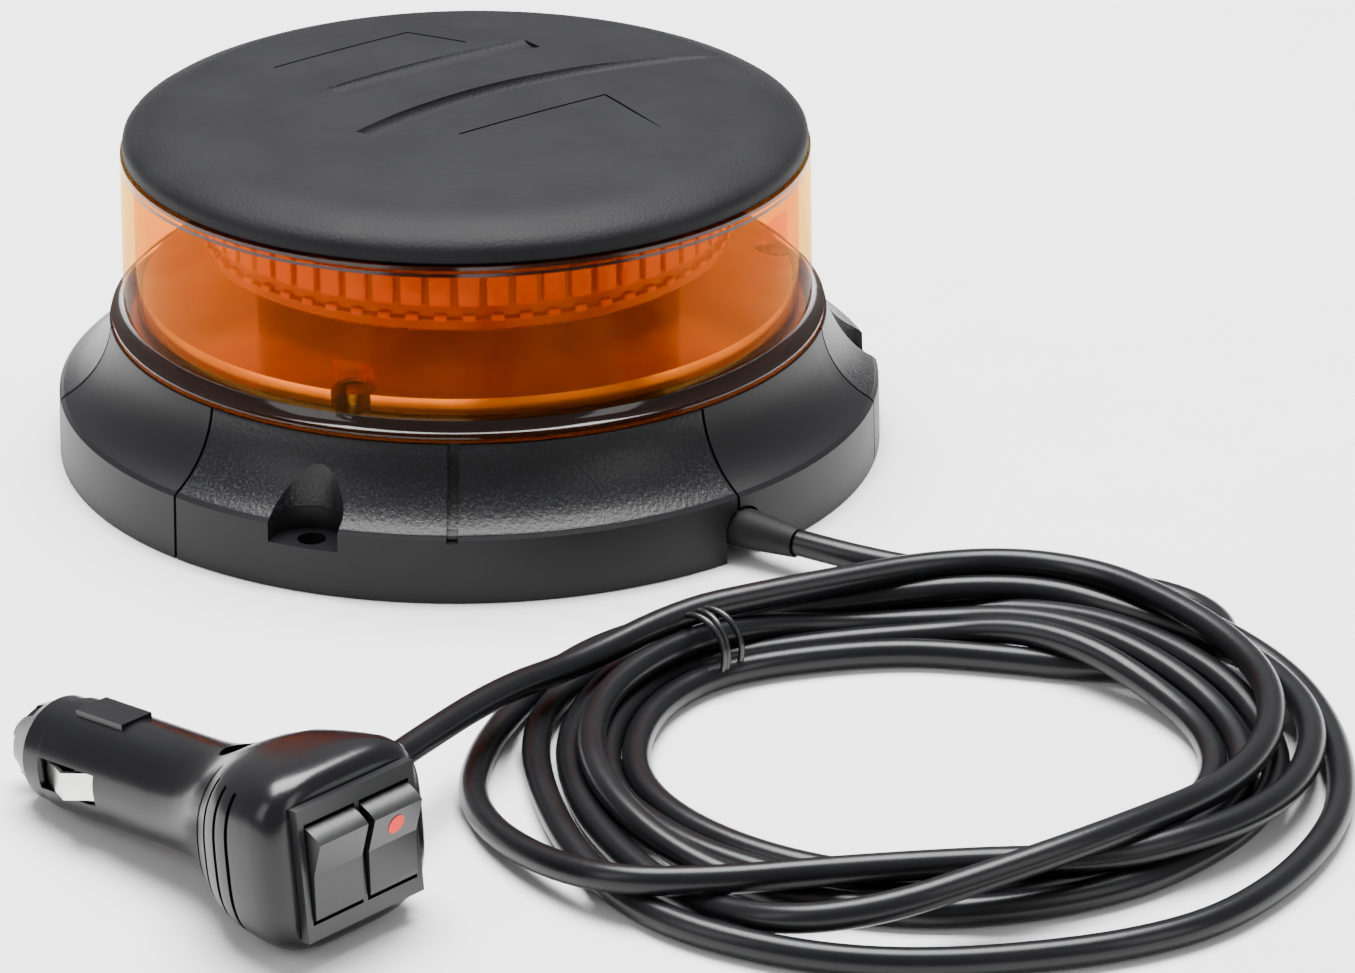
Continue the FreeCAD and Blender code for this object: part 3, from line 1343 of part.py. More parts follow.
document.recompute()
failed = ["%s (%s)" % (thing.Name, thing.Label) for thing in document.Objects
          if "Invalid" in thing.State or "Error" in thing.State]
if failed:
    raise RuntimeError("failed: " + ", ".join(failed))
os.makedirs("parts", exist_ok=True)
for label, thing in PARTS.items():
    shape = thing.Shape
    if shape.isNull() or not shape.isValid() or shape.Volume < 1e-3:
        raise RuntimeError("%s has no sound shape" % label)
    shape.exportStep("parts/%s.step" % label)
print(len(PARTS), "sub-parts written")
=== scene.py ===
"""Looks of a magnetic amber beacon with a coiled lead and a lighter-socket plug."""

import math

import bpy
import numpy as np
from mathutils import Matrix, Vector


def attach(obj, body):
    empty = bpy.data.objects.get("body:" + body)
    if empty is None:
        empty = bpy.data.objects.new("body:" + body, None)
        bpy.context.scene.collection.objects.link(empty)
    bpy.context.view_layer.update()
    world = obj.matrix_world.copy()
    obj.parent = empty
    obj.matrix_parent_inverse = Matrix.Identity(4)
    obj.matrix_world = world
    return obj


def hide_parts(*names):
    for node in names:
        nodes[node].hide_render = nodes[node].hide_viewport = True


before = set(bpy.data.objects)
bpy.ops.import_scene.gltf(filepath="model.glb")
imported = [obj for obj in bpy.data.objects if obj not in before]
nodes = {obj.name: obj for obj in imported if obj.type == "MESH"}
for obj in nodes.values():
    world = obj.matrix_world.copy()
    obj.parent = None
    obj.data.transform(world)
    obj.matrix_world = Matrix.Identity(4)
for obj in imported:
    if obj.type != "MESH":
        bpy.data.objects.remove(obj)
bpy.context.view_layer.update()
MM = 0.001


# ---------------------------------------------------------------- shader wires
class Wire:
    """A shader socket that takes arithmetic and makes further nodes."""

    def __init__(self, tree, socket=None):
        self.tree, self.socket = tree, socket

    def make(self, kind, settings=None, inputs=None, output=0):
        node = self.tree.nodes.new(kind)
        for key, value in (settings or {}).items():
            setattr(node, key, value)
        for key, value in (inputs or {}).items():
            if isinstance(value, Wire):
                self.tree.links.new(value.socket, node.inputs[key])
            else:
                node.inputs[key].default_value = value
        return Wire(self.tree, node.outputs[output]) if node.outputs else None

    def math(self, operation, *others):
        return self.make("ShaderNodeMath", {"operation": operation},
                         dict(enumerate((self,) + others)))

    def __add__(self, other):
        return self.math("ADD", other)

    def __sub__(self, other):
        return self.math("SUBTRACT", other)

    def __mul__(self, other):
        return self.math("MULTIPLY", other)

    def __rsub__(self, other):
        return self * -1.0 + other

    __radd__ = __add__
    __rmul__ = __mul__

    def ramp(self, low, high):
        """0 below low, 1 above high, smooth between."""
        value, from_low, from_high, to_low, to_high = range(5)
        return self.make("ShaderNodeMapRange", {"interpolation_type": "SMOOTHSTEP"},
                         {value: self, from_low: low, from_high: high, to_low: 0.0, to_high: 1.0})

    def between(self, low, high, soft):
        """1 from low to high and 0 outside, each edge spread over soft on either side."""
        return self.ramp(low - soft, low + soft) * (1.0 - self.ramp(high - soft, high + soft))

    def blend(self, first, second):
        """The colour first where this is 0 and second where it is 1."""
        factor, colour_a, colour_b, colour_result = 0, 6, 7, 2
        return self.make("ShaderNodeMix", {"data_type": "RGBA"},
                         {factor: self, colour_a: first, colour_b: second}, colour_result)


def start(name):
    """A new material: the tree as a wire, and its object coordinates."""
    material = bpy.data.materials.new(name)
    material.use_nodes = True
    material.node_tree.nodes.clear()
    tree = Wire(material.node_tree)
    return material, tree, tree.make("ShaderNodeTexCoord", output="Object")


def noise(tree, place, scale, detail=2.0):
    return tree.make("ShaderNodeTexNoise", None,
                     {"Vector": place, "Scale": scale, "Detail": detail})


def finish_material(tree, shader):
    tree.make("ShaderNodeOutputMaterial", None, {"Surface": shader})


def axes(tree, place):
    """The three object coordinates in millimetres."""
    return [tree.make("ShaderNodeSeparateXYZ", None, {"Vector": place}, axis) * (1 / MM)
            for axis in range(3)]


def surface(name, colour, rough, metal=0.0, grain=0.0, scale=1300.0, mottle=0.15,
            specular=0.5):
    """An opaque finish: grain is its fine relief in millimetres, mottle its unevenness."""
    material, tree, place = start(name)
    broad = noise(tree, place, 60.0, 3.0)
    dark = tuple(c * (1 - mottle) for c in colour) + (1.0,)
    light = tuple(min(c * (1 + mottle), 1.0) for c in colour) + (1.0,)
    inputs = {"Base Color": broad.ramp(0.3, 0.7).blend(dark, light),
              "Roughness": broad * (rough * 0.3) + rough * 0.85,
              "Metallic": metal, "Specular IOR Level": specular}
    if grain:
        inputs["Normal"] = tree.make("ShaderNodeBump", None, {
            "Strength": 1.0, "Distance": grain * MM, "Height": noise(tree, place, scale)})
    finish_material(tree, tree.make("ShaderNodeBsdfPrincipled", None, inputs))
    return material


BAND_EDGE, BAND_DARKNESS = 0.15, 0.94
BAND_COLOUR = (0.008, 0.003, 0.002, 1.0)


def clear_plastic(name, tint, colour, rough, gloss, bands=()):
    """A tinted see-through plastic with a glossy skin, dark between the heights in bands."""
    material, tree, place = start(name)
    through = tree.make("ShaderNodeBsdfTransparent", None, {"Color": tint + (1.0,)})
    skin = tree.make("ShaderNodeBsdfPrincipled", None, {
        "Base Color": noise(tree, place, 40.0).ramp(0.3, 0.7).blend(
            tuple(c * 0.9 for c in colour) + (1.0,), colour + (1.0,)),
        "Roughness": rough, "Coat Weight": 0.3})
    edge = tree.make("ShaderNodeLayerWeight", None, {"Blend": 0.3}, output="Fresnel")
    share = edge * 0.25 + gloss
    plastic = tree.make("ShaderNodeMixShader", None, {0: share, 1: through, 2: skin})
    if bands:
        height = axes(tree, place)[2]
        dark = tree.make("ShaderNodeBsdfPrincipled", None, {
            "Base Color": BAND_COLOUR, "Roughness": 0.1, "Specular IOR Level": 0.35})
        first, *rest = [height.between(low, high, BAND_EDGE) for low, high in bands]
        inside = sum(rest, first) * BAND_DARKNESS
        plastic = tree.make("ShaderNodeMixShader", None, {0: inside, 1: plastic, 2: dark})
    finish_material(tree, plastic)
    return material


# Round the skirt, in degrees: where a smooth panel starts, where its bay starts and ends
# after that, and how often both come again. Up the skirt, in millimetres: the bay's ends.
PANEL_START, BAY_START, BAY_END, REPEAT = 38.0, 38.5, 119.5, 120.0
COVE_LOW, COVE_HIGH, BAY_EDGE = 13.5, 27.4, 0.2
FULL_TURNS = 720.0     # keeps the angle above zero


def panelled(name):
    """Black moulding with grained bays between smooth panels, three round the skirt; the bays
    carry painted glints as lighter specks.
    """
    material, tree, place = start(name)
    x, y, height = axes(tree, place)
    turn = x.math("ARCTAN2", y * -1.0) * (180 / math.pi) + (FULL_TURNS - PANEL_START)
    phase = turn.math("MODULO", REPEAT)
    bay = (phase.between(BAY_START, BAY_END, BAY_EDGE)
           * height.between(COVE_LOW, COVE_HIGH, BAY_EDGE))
    fine = noise(tree, place, 1150.0)
    # Painted glints: the grain's relief is real, but its lighter specks in the base colour stand
    # for glints of the overhead light. They are fewer up the cove, where it turns steep.
    painted_glint_specks = noise(tree, place, 2300.0, 1.0).ramp(0.45, 0.8) * (1.0 - height.ramp(14.5, 22.0) * 0.8)
    tone = (bay * painted_glint_specks).blend((0.006, 0.006, 0.007, 1.0), (0.04, 0.04, 0.043, 1.0))
    bump = tree.make("ShaderNodeBump", None, {
        "Strength": 1.0, "Distance": 0.1 * MM, "Height": fine * (bay * 0.85 + 0.15)})
    finish_material(tree, tree.make("ShaderNodeBsdfPrincipled", None, {
        "Base Color": tone, "Roughness": 0.46 - bay * 0.1, "Normal": bump,
        "Specular IOR Level": 0.22}))
    return material


matte_black = surface("matte black plastic", (0.007, 0.007, 0.008), 0.48, grain=0.08, scale=1400.0,
                      specular=0.35)
rough_black = surface("grained black plastic", (0.008, 0.008, 0.009), 0.6, grain=0.1,
                      scale=1500.0, specular=0.13)
skirt_black = panelled("panelled black plastic")
gloss_black = surface("polished black plastic", (0.004, 0.004, 0.005), 0.24, grain=0.015,
                      scale=900.0, specular=0.35)
satin_black = surface("satin black plastic", (0.006, 0.006, 0.007), 0.33, grain=0.02, scale=900.0)
cable_black = surface("black cable jacket", (0.005, 0.005, 0.006), 0.3, grain=0.02, scale=500.0,
                      specular=0.25)
rubber = surface("black rubber", (0.006, 0.006, 0.006), 0.6, grain=0.03, specular=0.2)
steel = surface("zinc plated steel", (0.55, 0.55, 0.56), 0.3, metal=1.0, grain=0.01)
nickel = surface("bright nickel", (0.78, 0.77, 0.74), 0.18, metal=1.0)
magnet = surface("magnet ferrite", (0.05, 0.05, 0.055), 0.5)
board = surface("green circuit board", (0.02, 0.12, 0.05), 0.4)
chip = surface("black chip resin", (0.01, 0.01, 0.01), 0.5)
aluminium = surface("brushed aluminium", (0.6, 0.6, 0.6), 0.4, metal=1.0)
copper = surface("copper", (0.75, 0.35, 0.2), 0.3, metal=1.0)
white_plastic = surface("white board coat", (0.75, 0.74, 0.7), 0.5)
led_face = surface("amber lamp face", (0.9, 0.55, 0.08), 0.3)
bell_metal = surface("vacuum metallised bell", (0.95, 0.75, 0.4), 0.3, metal=1.0)
glass = surface("fuse glass", (0.5, 0.55, 0.55), 0.1)
red = surface("red indicator", (0.85, 0.02, 0.008), 0.4, specular=0.15)
amber_lens = clear_plastic("amber lens plastic", (1.0, 0.7, 0.24), (0.9, 0.22, 0.01), 0.05, 0.025,
                           bands=((28.7, 31.5), (60.2, 60.9), (61.5, 62.5)))
amber_optic = clear_plastic("amber optic plastic", (1.0, 0.6, 0.2), (0.42, 0.10, 0.008), 0.2, 0.7)
amber_cells = clear_plastic("amber cell plastic", (1.0, 0.6, 0.2), (0.85, 0.27, 0.02), 0.15, 0.6)

FINISH = {
    matte_black: "inner_tub", rough_black: "top_cap", skirt_black: "magnet_skirt",
    gloss_black: "plug_upper_shell plug_lower_shell nose_cap",
    satin_black: "switch_bezel pattern_rocker power_rocker switch_bodies cable_clamp "
                 "rear_terminal tub_gland breather_vent",
    rubber: "magnet_pads lens_gasket cap_seal exit_sleeve plug_boot coil_tie",
    cable_black: "beacon_lead cable_coil plug_lead inner_cable lamp_leads",
    steel: "magnet_cups magnet_screws carrier_plate carrier_screws clamp_screws board_screws "
           "post_bolt lens_screws cap_screws shell_screw pin_spring rocker_pin nose_washer",
    nickel: "tip_pin left_ground_contact right_ground_contact fuse",
    magnet: "magnets driver_coil", board: "driver_board plug_board",
    chip: "driver_chips driver_capacitors", aluminium: "heat_sink centre_post",
    white_plastic: "led_strip", led_face: "leds", bell_metal: "reflector_bell",
    glass: "fuse_sleeve", red: "indicator_lens", amber_lens: "outer_lens",
    amber_optic: "optic_ring",
}


def coat(obj, material):
    """Finishes a CAD node, whose material slots follow its mesh."""
    for slot in obj.material_slots:
        slot.link = "OBJECT"
        slot.material = material


for finish, names in FINISH.items():
    for name in names.split():
        coat(nodes[name], finish)


# ---------------------------------------------------------------- the lead
# The cable leaves the skirt at EXIT along HEADING; the plug lies at PLUG_AT along PLUG_X.
HEADING = Vector((math.sin(math.radians(52)), -math.cos(math.radians(52)), 0))
EXIT, EXIT_HEIGHT = Vector((52.23, -64.50, 0)), 6.2
PLUG_YAW, PLUG_PITCH = math.radians(-46), math.atan2(6.0, 62.9)
PLUG_AT = Vector((-78.6, -151.8, 8.636))
PLUG_X = Vector((math.cos(PLUG_YAW) * math.cos(PLUG_PITCH),
                 math.sin(PLUG_YAW) * math.cos(PLUG_PITCH), math.sin(PLUG_PITCH)))
PLUG_Y = Vector((-math.sin(PLUG_YAW), math.cos(PLUG_YAW), 0))
PLUG_Z = PLUG_X.cross(PLUG_Y)
LEAN = math.radians(14.5)
BOOT_OUT = PLUG_Y * math.cos(LEAN) - PLUG_X * math.sin(LEAN)
SIDE = PLUG_AT + PLUG_X * 65 + PLUG_Y * 18
CABLE = 5.2

lead = [EXIT - HEADING * 6 + Vector((0, 0, EXIT_HEIGHT)),
        EXIT + HEADING * 15 + Vector((0, 0, EXIT_HEIGHT)), Vector((82.03, -83.0, 5.4))]
tail = [Vector((18.03, -130.0, 9.6)), Vector((4.03, -146.0, 12.6)),
        SIDE + BOOT_OUT * 16, SIDE - BOOT_OUT * 4]
# The lead lies along the coil's far edge and doubles back on the floor.
HAIRPIN = [(98, -82.5, 3.2), (114, -83.2, 2.6), (127.5, -87, 2.6), (137, -95.5, 2.6),
           (140, -107, 2.6), (135, -117, 2.6), (125, -122, 2.6), (113, -121, 2.6),
           (103.5, -118.5, 2.6)]
MIDDLE = (78.5, -158.0)
STATIONS = (60, 90, 131, 160, 190, 222, 250, 275, 305, 335, 360, 385)
# Each turn's distance from the middle, and its height, at every station.
TURNS = [
    [(44.5, 2.6), (46.4, 2.6), (52.0, 2.6), (52.4, 2.6), (51.1, 2.6), (46.0, 2.6),
     (44.0, 2.6), (44.0, 2.6), (45.0, 2.6), (49.0, 2.6), (52.1, 2.6), (50.5, 4.6)],
    [(49.8, 7.8), (51.7, 2.6), (57.3, 2.6), (57.7, 2.6), (56.4, 2.6), (51.3, 2.6),
     (49.3, 2.6), (49.3, 2.6), (50.3, 2.6), (54.3, 2.6), (57.4, 2.6), (55.8, 6.0)],
    [(55.0, 7.8), (57.0, 3.0), (56.0, 7.4), (58.5, 7.0), (57.7, 6.6), (56.6, 4.6),
     (54.6, 2.6), (54.6, 2.6), (55.6, 2.6), (59.6, 2.6), (62.7, 2.6), (61.1, 7.0)],
    [(62.0, 7.8), (62.3, 3.0), (68.0, 2.6), (70.6, 2.6), (67.8, 2.6), (73.0, 2.6),
     (72.5, 2.6), (71.0, 2.6), (73.5, 2.6), (73.0, 2.6), (73.0, 2.6), (74.0, 5.0)],
    [(73.0, 7.8), (67.8, 3.0), (73.4, 2.6), (75.4, 2.6), (80.3, 2.6), (73.5, 6.0),
     (52.0, 8.6), (46.8, 8.8), (53.7, 7.8), (62.0, 6.6), (69.0, 7.0), (70.8, 8.0)],
    [(66.5, 8.2), (60.0, 6.8), (62.6, 6.0), (64.0, 3.0), (61.8, 2.6), (64.5, 3.0),
     (69.0, 8.4), (57.0, 11.4), (52.6, 12.0), (55.5, 10.8), (61.5, 10.4), (66.5, 10.8)],
]
# The top turn's last part: station, distance and height.
RUN_OUT = [(60, 70.8, 11.4), (75, 67.9, 10.8), (90, 61.0, 11.4), (111, 55.9, 12.4),
           (128, 59.5, 12.8), (147, 63.4, 11.0)]
# How the turns are eased apart, in millimetres and in shares of a move.
SPACING = 5            # between the points that are moved
NEIGHBOURS = 6         # points nearer than this along the cable don't push one another
CLEARANCE = CABLE * 1.03
ROUNDS = 260
ACROSS = 0.85          # how much of a push that would run along the cable is left out
PUSH, RETURN, SMOOTH, SINK = 0.25, 0.01, 0.5, 0.02
EVERY = 3              # one eased point in this many becomes a control point


def around(turn, reach, height):
    """The point at a turn in degrees and a distance round the coil's middle."""
    angle = math.radians(turn)
    return Vector((MIDDLE[0] + reach * math.cos(angle),
                   MIDDLE[1] + reach * math.sin(angle), height))


def settled_coil(before, after):
    """The coil's points, eased apart so that turns lie beside or on one another."""
    rough = [Vector(p) for p in HAIRPIN]
    for number, turn in enumerate(TURNS):
        for station, (reach, height) in zip(STATIONS, turn):
            if number or station > STATIONS[0]:
                rough.append(around(station, reach, height))
    rough += [around(*p) for p in RUN_OUT]
    keys = np.array([before[-2], before[-1]] + rough + [after[0], after[1]])
    dense = []
    for a, b, c, d in zip(keys, keys[1:], keys[2:], keys[3:]):
        steps = max(int(np.linalg.norm(c - b) / SPACING), 1)
        for t in np.arange(steps) / steps:
            dense.append(((2 * b) + (c - a) * t + (2 * a - 5 * b + 4 * c - d) * t ** 2
                          + (3 * b - a - 3 * c + d) * t ** 3) / 2)
    points = np.array(dense + [keys[-2]])
    base = points.copy()
    first, second = np.triu_indices(len(points), NEIGHBOURS)
    for _ in range(ROUNDS):
        gap = points[second] - points[first]
        near = np.linalg.norm(gap, axis=1) < CLEARANCE
        i, j, gap = first[near], second[near], gap[near]
        ahead, behind = np.minimum(i + 1, len(points) - 1), np.maximum(i - 1, 0)
        along = points[ahead] - points[behind]
        along /= np.linalg.norm(along, axis=1)[:, None]
        gap -= (gap * along).sum(1)[:, None] * along * ACROSS
        size = np.maximum(np.linalg.norm(gap, axis=1), 1e-6)[:, None]
        push = np.maximum(CLEARANCE - size, 0) * gap / size * PUSH
        move = np.zeros_like(points)
        np.add.at(move, i, -push)
        np.add.at(move, j, push)
        off = points - base
        move -= off * RETURN
        move[1:-1] += SMOOTH * ((off[:-2] + off[2:]) / 2 - off[1:-1])
        move[:, 2] -= SINK
        move[[0, -1]] = 0
        points += move
        points[:, 2] = np.maximum(points[:, 2], CABLE / 2)
    return [Vector(p) for p in points[EVERY:-2:EVERY]]


def nurbs_cord(name, points, diameter):
    """A round cord whose curve starts and ends at the first and last of the points."""
    data = bpy.data.curves.new(name, "CURVE")
    data.dimensions = "3D"
    data.bevel_depth = diameter / 2 * MM
    data.bevel_resolution = 5
    data.resolution_u = 6
    data.use_fill_caps = True
    spline = data.splines.new("NURBS")
    spline.points.add(len(points) - 1)
    for knot, point in zip(spline.points, points):
        knot.co = (*(point * MM), 1.0)
    spline.order_u = 3
    spline.use_endpoint_u = True
    obj = bpy.data.objects.new(name, data)
    bpy.context.collection.objects.link(obj)
    return obj


route = lead + settled_coil(lead, tail) + tail
cord = nurbs_cord("power_lead", route, CABLE)
cord.data.materials.append(cable_black)
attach(cord, "beacon")
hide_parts("beacon_lead", "cable_coil", "plug_lead")


# ---------------------------------------------------------------- modelling
def clear():
    """Deselects every object."""
    bpy.ops.object.select_all(action="DESELECT")


def editing(obj):
    """Edits this object alone, with all of it selected."""
    clear()
    obj.select_set(True)
    bpy.context.view_layer.objects.active = obj
    bpy.ops.object.mode_set(mode="EDIT")
    bpy.ops.mesh.select_all(action="SELECT")


def close_edit():
    """Merges doubles, turns the faces outwards and leaves edit mode."""
    bpy.ops.mesh.select_all(action="SELECT")
    bpy.ops.mesh.remove_doubles(threshold=1e-6)
    bpy.ops.mesh.normals_make_consistent(inside=False)
    bpy.ops.object.mode_set(mode="OBJECT")
    return bpy.context.object


def apply_place():
    """Moves the new primitive's place into its mesh."""
    bpy.ops.object.transform_apply(location=True, rotation=True, scale=True)
    return bpy.context.object


def lathe(profile, steps):
    """A closed outline of (radius, height) in millimetres, turned about Z."""
    clear()
    bpy.ops.mesh.primitive_plane_add(size=0.01)
    editing(bpy.context.object)
    bpy.ops.mesh.merge(type="CENTER")
    bpy.ops.transform.translate(value=(profile[0][0] * MM, 0, profile[0][1] * MM))
    for (r0, z0), (r1, z1) in zip(profile, profile[1:]):
        bpy.ops.mesh.extrude_vertices_move(
            TRANSFORM_OT_translate={"value": ((r1 - r0) * MM, 0, (z1 - z0) * MM)})
    bpy.ops.mesh.select_all(action="SELECT")
    bpy.ops.mesh.spin(steps=steps, angle=2 * math.pi, center=(0, 0, 0), axis=(0, 0, 1))
    return close_edit()


def block(low, high, turn=0.0, at=(0, 0, 0)):
    """A box from low to high in millimetres, turned about Z and moved to at."""
    clear()
    bpy.ops.mesh.primitive_cube_add(size=1)
    obj = bpy.context.object
    low, high = Vector(low) * MM, Vector(high) * MM
    obj.data.transform(Matrix.Translation(Vector(at) * MM) @ Matrix.Rotation(turn, 4, "Z")
                       @ Matrix.Translation((low + high) / 2)
                       @ Matrix.Diagonal((high - low).to_4d()))
    return obj


def drum(radius, low, high, x=0.0):
    """An upright cylinder between two heights, at a distance along X."""
    clear()
    bpy.ops.mesh.primitive_cylinder_add(
        vertices=48, radius=radius * MM, depth=(high - low) * MM,
        location=(x * MM, 0, (low + high) / 2 * MM))
    return apply_place()


def arc_tool(middle, reach, first, last, wide, deep, height):
    """A round-bottomed bar that follows an arc, in degrees, for cutting a groove."""
    clear()
    bpy.ops.mesh.primitive_circle_add(vertices=24, radius=MM, rotation=(math.pi / 2, 0, 0))
    editing(apply_place())
    bpy.ops.transform.resize(value=(wide, 1, 1))
    bpy.ops.transform.resize(value=(1, 1, deep))
    bpy.ops.transform.translate(value=(reach * MM, 0, 0))
    bpy.ops.mesh.spin(steps=48, angle=math.radians(first - last), center=(0, 0, 0),
                      axis=(0, 0, 1))
    bpy.ops.mesh.select_all(action="SELECT")
    bpy.ops.mesh.fill_holes(sides=0)
    obj = close_edit()
    obj.data.transform(Matrix.Translation(Vector((middle[0], middle[1], height)) * MM)
                       @ Matrix.Rotation(math.radians(first), 4, "Z"))
    return obj


def join(parts):
    """Makes one object of several."""
    clear()
    for part in parts:
        part.select_set(True)
    bpy.context.view_layer.objects.active = parts[0]
    bpy.ops.object.join()
    return bpy.context.object


def carve(obj, tool, operation="DIFFERENCE"):
    """Cuts the tool out of the object, or unites them, and removes the tool."""
    clear()
    bpy.context.view_layer.objects.active = obj
    modifier = obj.modifiers.new("carve", "BOOLEAN")
    modifier.operation, modifier.solver, modifier.object = operation, "EXACT", tool
    bpy.ops.object.modifier_apply(modifier=modifier.name)
    bpy.data.objects.remove(tool)


def piece(obj, name, material, stands_for=None, angle=35, turn=None):
    """Names and finishes a modelled piece that rides on the beacon."""
    if turn is not None:
        obj.data.transform(turn)
    obj.name = obj.data.name = name
    obj.data.materials.clear()
    obj.data.materials.append(material)
    clear()
    obj.select_set(True)
    bpy.context.view_layer.objects.active = obj
    bpy.ops.object.shade_smooth_by_angle(angle=math.radians(angle))
    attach(obj, "beacon")
    if stands_for:
        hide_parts(stands_for)


# ---------------------------------------------------------------- the cap
# The cap's outline as radius and height, from the middle of the top round to the underside.
crown = lathe([(0, 70.98), (15, 70.88), (30, 70.56), (45, 70.0), (56, 69.45), (59.5, 69.15),
               (61.5, 68.6), (63.5, 67.9), (65.6, 67.0), (67.0, 66.1), (67.7, 65.2), (67.9, 64.3),
               (67.9, 62.9), (67.5, 62.5), (64.9, 62.5), (64.9, 64.0), (0, 66.0)], 192)
carve(crown, arc_tool((82.1, -97.6), 129, 100, 142, 2.6, 2.3, 71.4))
carve(crown, arc_tool((185.9, -237.9), 323, 122.2, 130.9, 3.4, 1.5, 71.0))
# Engraved lines: start, end and the height of the groove's floor.
ENGRAVED = [((-38.2, 23.5), (-11.7, 44.0), 69.75), ((-11.7, 44.0), (0.1, 36.6), 69.75),
            ((-1.0, -19.2), (27.7, 2.6), 70.35), ((27.7, 2.6), (37.7, -15.2), 70.05)]
HALF_LINE, ABOVE_CAP = 0.3, 73
for line_start, line_end, floor_height in ENGRAVED:
    along = Vector(line_end) - Vector(line_start)
    carve(crown, block((-HALF_LINE, -HALF_LINE, floor_height),
                       (along.length + HALF_LINE, HALF_LINE, ABOVE_CAP),
                       math.atan2(along.y, along.x), (*line_start, 0)))
piece(crown, "cap_crown", rough_black, "top_cap", angle=28)

# ---------------------------------------------------------------- optic cells
CELLS, CELL_ROUNDING = 60, 0.4
cell = block((51.6, -2.1, 48.1), (53.2, 2.1, 54.3))
tick = block((51.6, -1.3, 44.9), (53.0, 1.3, 46.3))
editing(join([cell, tick]))
bpy.ops.mesh.bevel(offset=CELL_ROUNDING * MM, segments=2)
bpy.ops.mesh.select_all(action="SELECT")
bpy.ops.mesh.spin(steps=CELLS, angle=2 * math.pi, center=(0, 0, 0), axis=(0, 0, 1), dupli=True)
piece(close_edit(), "optic_cells", amber_cells)

# ---------------------------------------------------------------- the plug
PLUG = Matrix.Translation(PLUG_AT * MM) @ Matrix(
    [(PLUG_X[i], PLUG_Y[i], PLUG_Z[i]) for i in range(3)]).to_4x4()
# Distance along the plug, half width, half height, and squareness of each section.
SECTIONS = [(14.1, 9.5, 9.5, 2.0), (14.8, 10, 10, 2.0), (44, 10, 10, 2.0), (49, 10.2, 10.1, 2.0),
            (53, 10.9, 10.5, 2.05), (56.5, 12.1, 11.3, 2.15), (60, 13.8, 12.6, 2.3),
            (63.5, 15.6, 14.1, 2.6), (67, 17.0, 15.0, 2.9), (71, 17.8, 15.35, 3.2),
            (75, 18, 15.75, 3.4), (78.5, 18, 16, 3.6), (81, 17.7, 15.7, 3.7),
            (82.6, 17.0, 15.0, 3.7), (83.5, 16.0, 14.0, 3.7), (83.9, 14.9, 12.9, 3.7)]
GRIPS_AT = (62.5, 66, 69.5, 73)
PARTING = 0.07


def plug_body(grow=1.0):
    """The plug's outside as one closed form along X, its sections from round to square."""
    clear()
    bpy.ops.mesh.primitive_circle_add(vertices=96, radius=0.01, fill_type="NGON",
                                      rotation=(0, math.pi / 2, 0),
                                      location=(SECTIONS[0][0] * MM, 0, 0))
    editing(apply_place())
    for before, after in zip(SECTIONS, SECTIONS[1:]):
        bpy.ops.mesh.extrude_region_move(
            TRANSFORM_OT_translate={"value": ((after[0] - before[0]) * MM, 0, 0)})
    obj = close_edit()
    for vertex in obj.data.vertices:
        _, wide, tall, square = min(SECTIONS, key=lambda s: abs(s[0] * MM - vertex.co.x))
        angle = math.atan2(vertex.co.z, vertex.co.y)
        across, up = math.cos(angle), math.sin(angle)
        vertex.co.y = math.copysign(abs(across) ** (2 / square), across) * wide * grow * MM
        vertex.co.z = math.copysign(abs(up) ** (2 / square), up) * tall * grow * MM
    return obj


body = plug_body()
# The grip's grooves reach as deep as a slightly smaller body.
grips = join([block((x - 0.45, -25, -13), (x + 0.45, -7, 12.5)) for x in GRIPS_AT])
carve(grips, plug_body(0.93))
carve(body, grips)
# The contacts' slots, the screw's recess, the bore for the fuse, and the pad on top.
for way in (-1, 1):
    near, far = sorted((way * 6.5, way * 14))
    carve(body, block((14.9, near, -2.9), (29.5, far, 2.9)))
carve(body, drum(3.1, 9.4, 20, x=57))
bore = drum(7.9, 13.0, 58.0)
bore.data.transform(Matrix.Rotation(math.pi / 2, 4, "Y"))
carve(body, bore)
carve(body, block((19, -3.4, 9), (31, 3.4, 10.5)), "UNION")
for half, sign in (("upper", 1), ("lower", -1)):
    shell = body.copy()
    shell.data = body.data.copy()
    bpy.context.collection.objects.link(shell)
    editing(shell)
    bpy.ops.mesh.bisect(plane_co=(0, 0, sign * PARTING * MM), plane_no=(0, 0, 1),
                        use_fill=True, clear_inner=sign > 0, clear_outer=sign < 0)
    piece(close_edit(), "plug_" + half + "_half", gloss_black, "plug_" + half + "_shell",
          angle=32, turn=PLUG)
bpy.data.objects.remove(body)

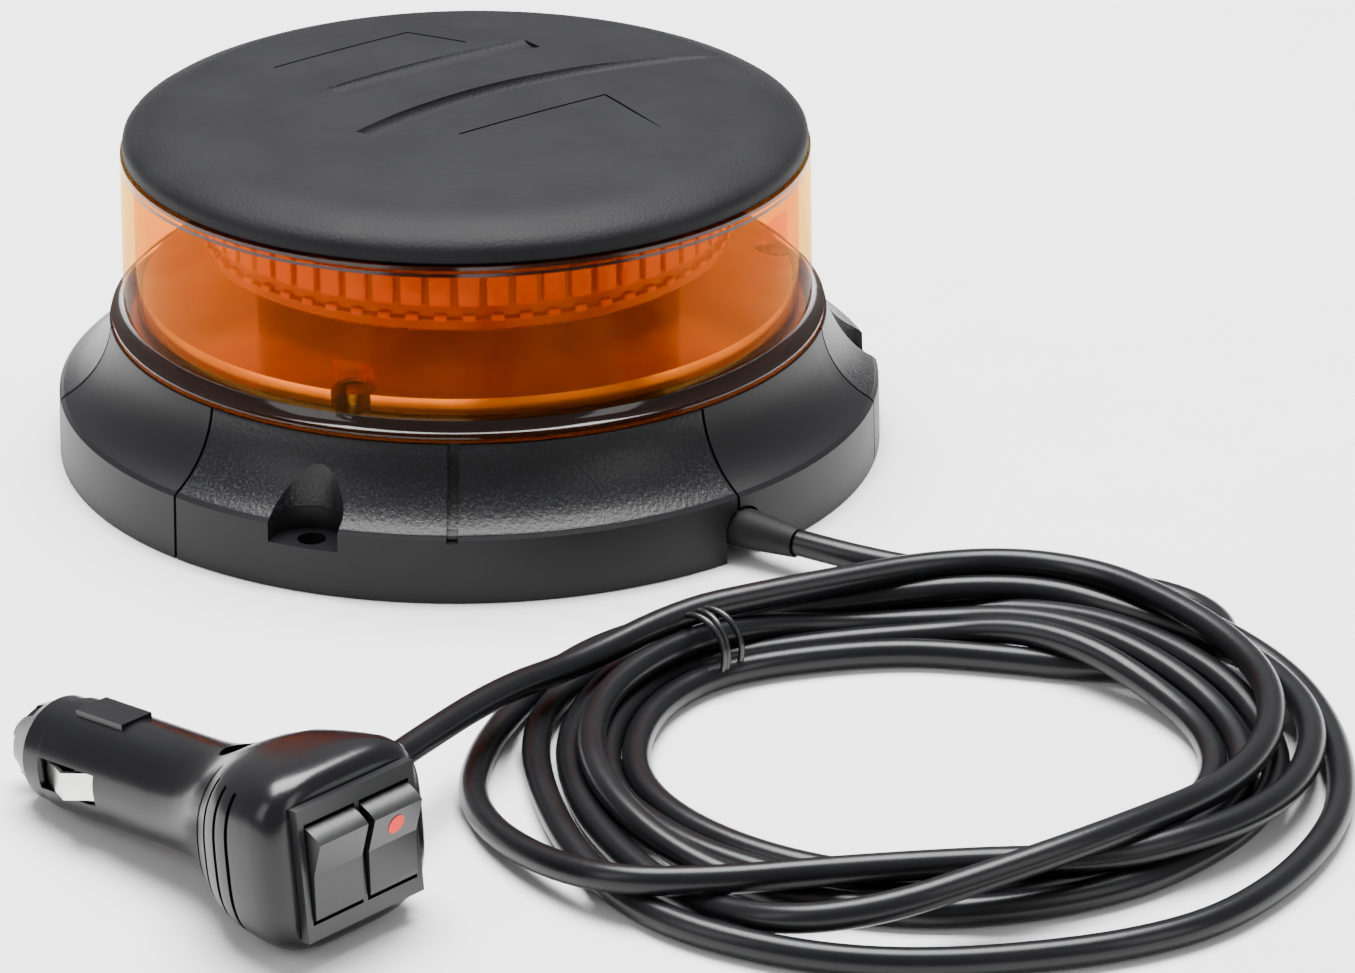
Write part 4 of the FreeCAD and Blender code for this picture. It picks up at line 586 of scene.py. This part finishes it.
# ---------------------------------------------------------------- the wire tie
TIE_AT, TIE_REACH, TIE_HEIGHT = 131.6, 54.6, 6.9
wires = []
for offset, lean in ((-2.1, 0.1), (0.0, -0.12), (2.0, 0.05)):
    clear()
    bpy.ops.mesh.primitive_torus_add(major_radius=0.0063, minor_radius=0.0006, major_segments=40,
                                     minor_segments=10)
    ring = bpy.context.object
    ring.data.transform(Matrix.Translation(around(TIE_AT, TIE_REACH, TIE_HEIGHT) * MM)
                        @ Matrix.Rotation(math.radians(TIE_AT), 4, "Z")
                        @ Matrix.Translation((0, offset * MM, 0))
                        @ Matrix.Rotation(lean, 4, "Z") @ Matrix.Rotation(math.pi / 2, 4, "X"))
    wires.append(ring)
piece(join(wires), "wire_tie", satin_black, "coil_tie", angle=60)

# ---------------------------------------------------------------- studio
bpy.ops.object.select_all(action="DESELECT")
bpy.ops.mesh.primitive_plane_add(size=12, location=(0, 3, -0.0002))
floor = bpy.context.object
floor.name = "floor"
floor.data.materials.append(surface("pale floor", (0.86, 0.86, 0.86), 0.75, mottle=0.005))

world = bpy.data.worlds.new("studio")
world.use_nodes = True
bpy.context.scene.world = world
backdrop = world.node_tree.nodes["Background"]
backdrop.inputs["Color"].default_value = (1.0, 1.0, 1.0, 1.0)
backdrop.inputs["Strength"].default_value = 0.45


def softbox(name, place, target, width, depth, power):
    bpy.ops.object.light_add(type="AREA", location=place)
    lamp = bpy.context.object
    lamp.name = name
    lamp.data.shape = "RECTANGLE"
    lamp.data.size, lamp.data.size_y = width, depth
    lamp.data.energy = power
    lamp.rotation_euler = (Vector(target) - Vector(place)).to_track_quat("-Z", "Y").to_euler()


softbox("overhead", (0.0, 0.25, 1.3), (0.0, -0.03, 0.0), 1.1, 0.8, 85)
softbox("left front", (-1.1, -0.7, 0.8), (0.0, -0.05, 0.03), 0.5, 0.9, 5)
softbox("right front", (1.0, -0.9, 0.7), (0.05, -0.08, 0.03), 0.4, 0.8, 4)

CAMERA_AT, CAMERA_VIEW = (0.0, -0.96422, 0.41566), (0.03973863, 0.91283582, -0.4063885)
bpy.ops.object.camera_add(location=CAMERA_AT)
camera = bpy.context.object
camera.rotation_euler = Vector(CAMERA_VIEW).to_track_quat("-Z", "Y").to_euler()
camera.data.lens = 137.142
camera.data.sensor_width = 36.0
camera.data.clip_start = 0.05
bpy.context.scene.camera = camera

bpy.context.view_layer.update()
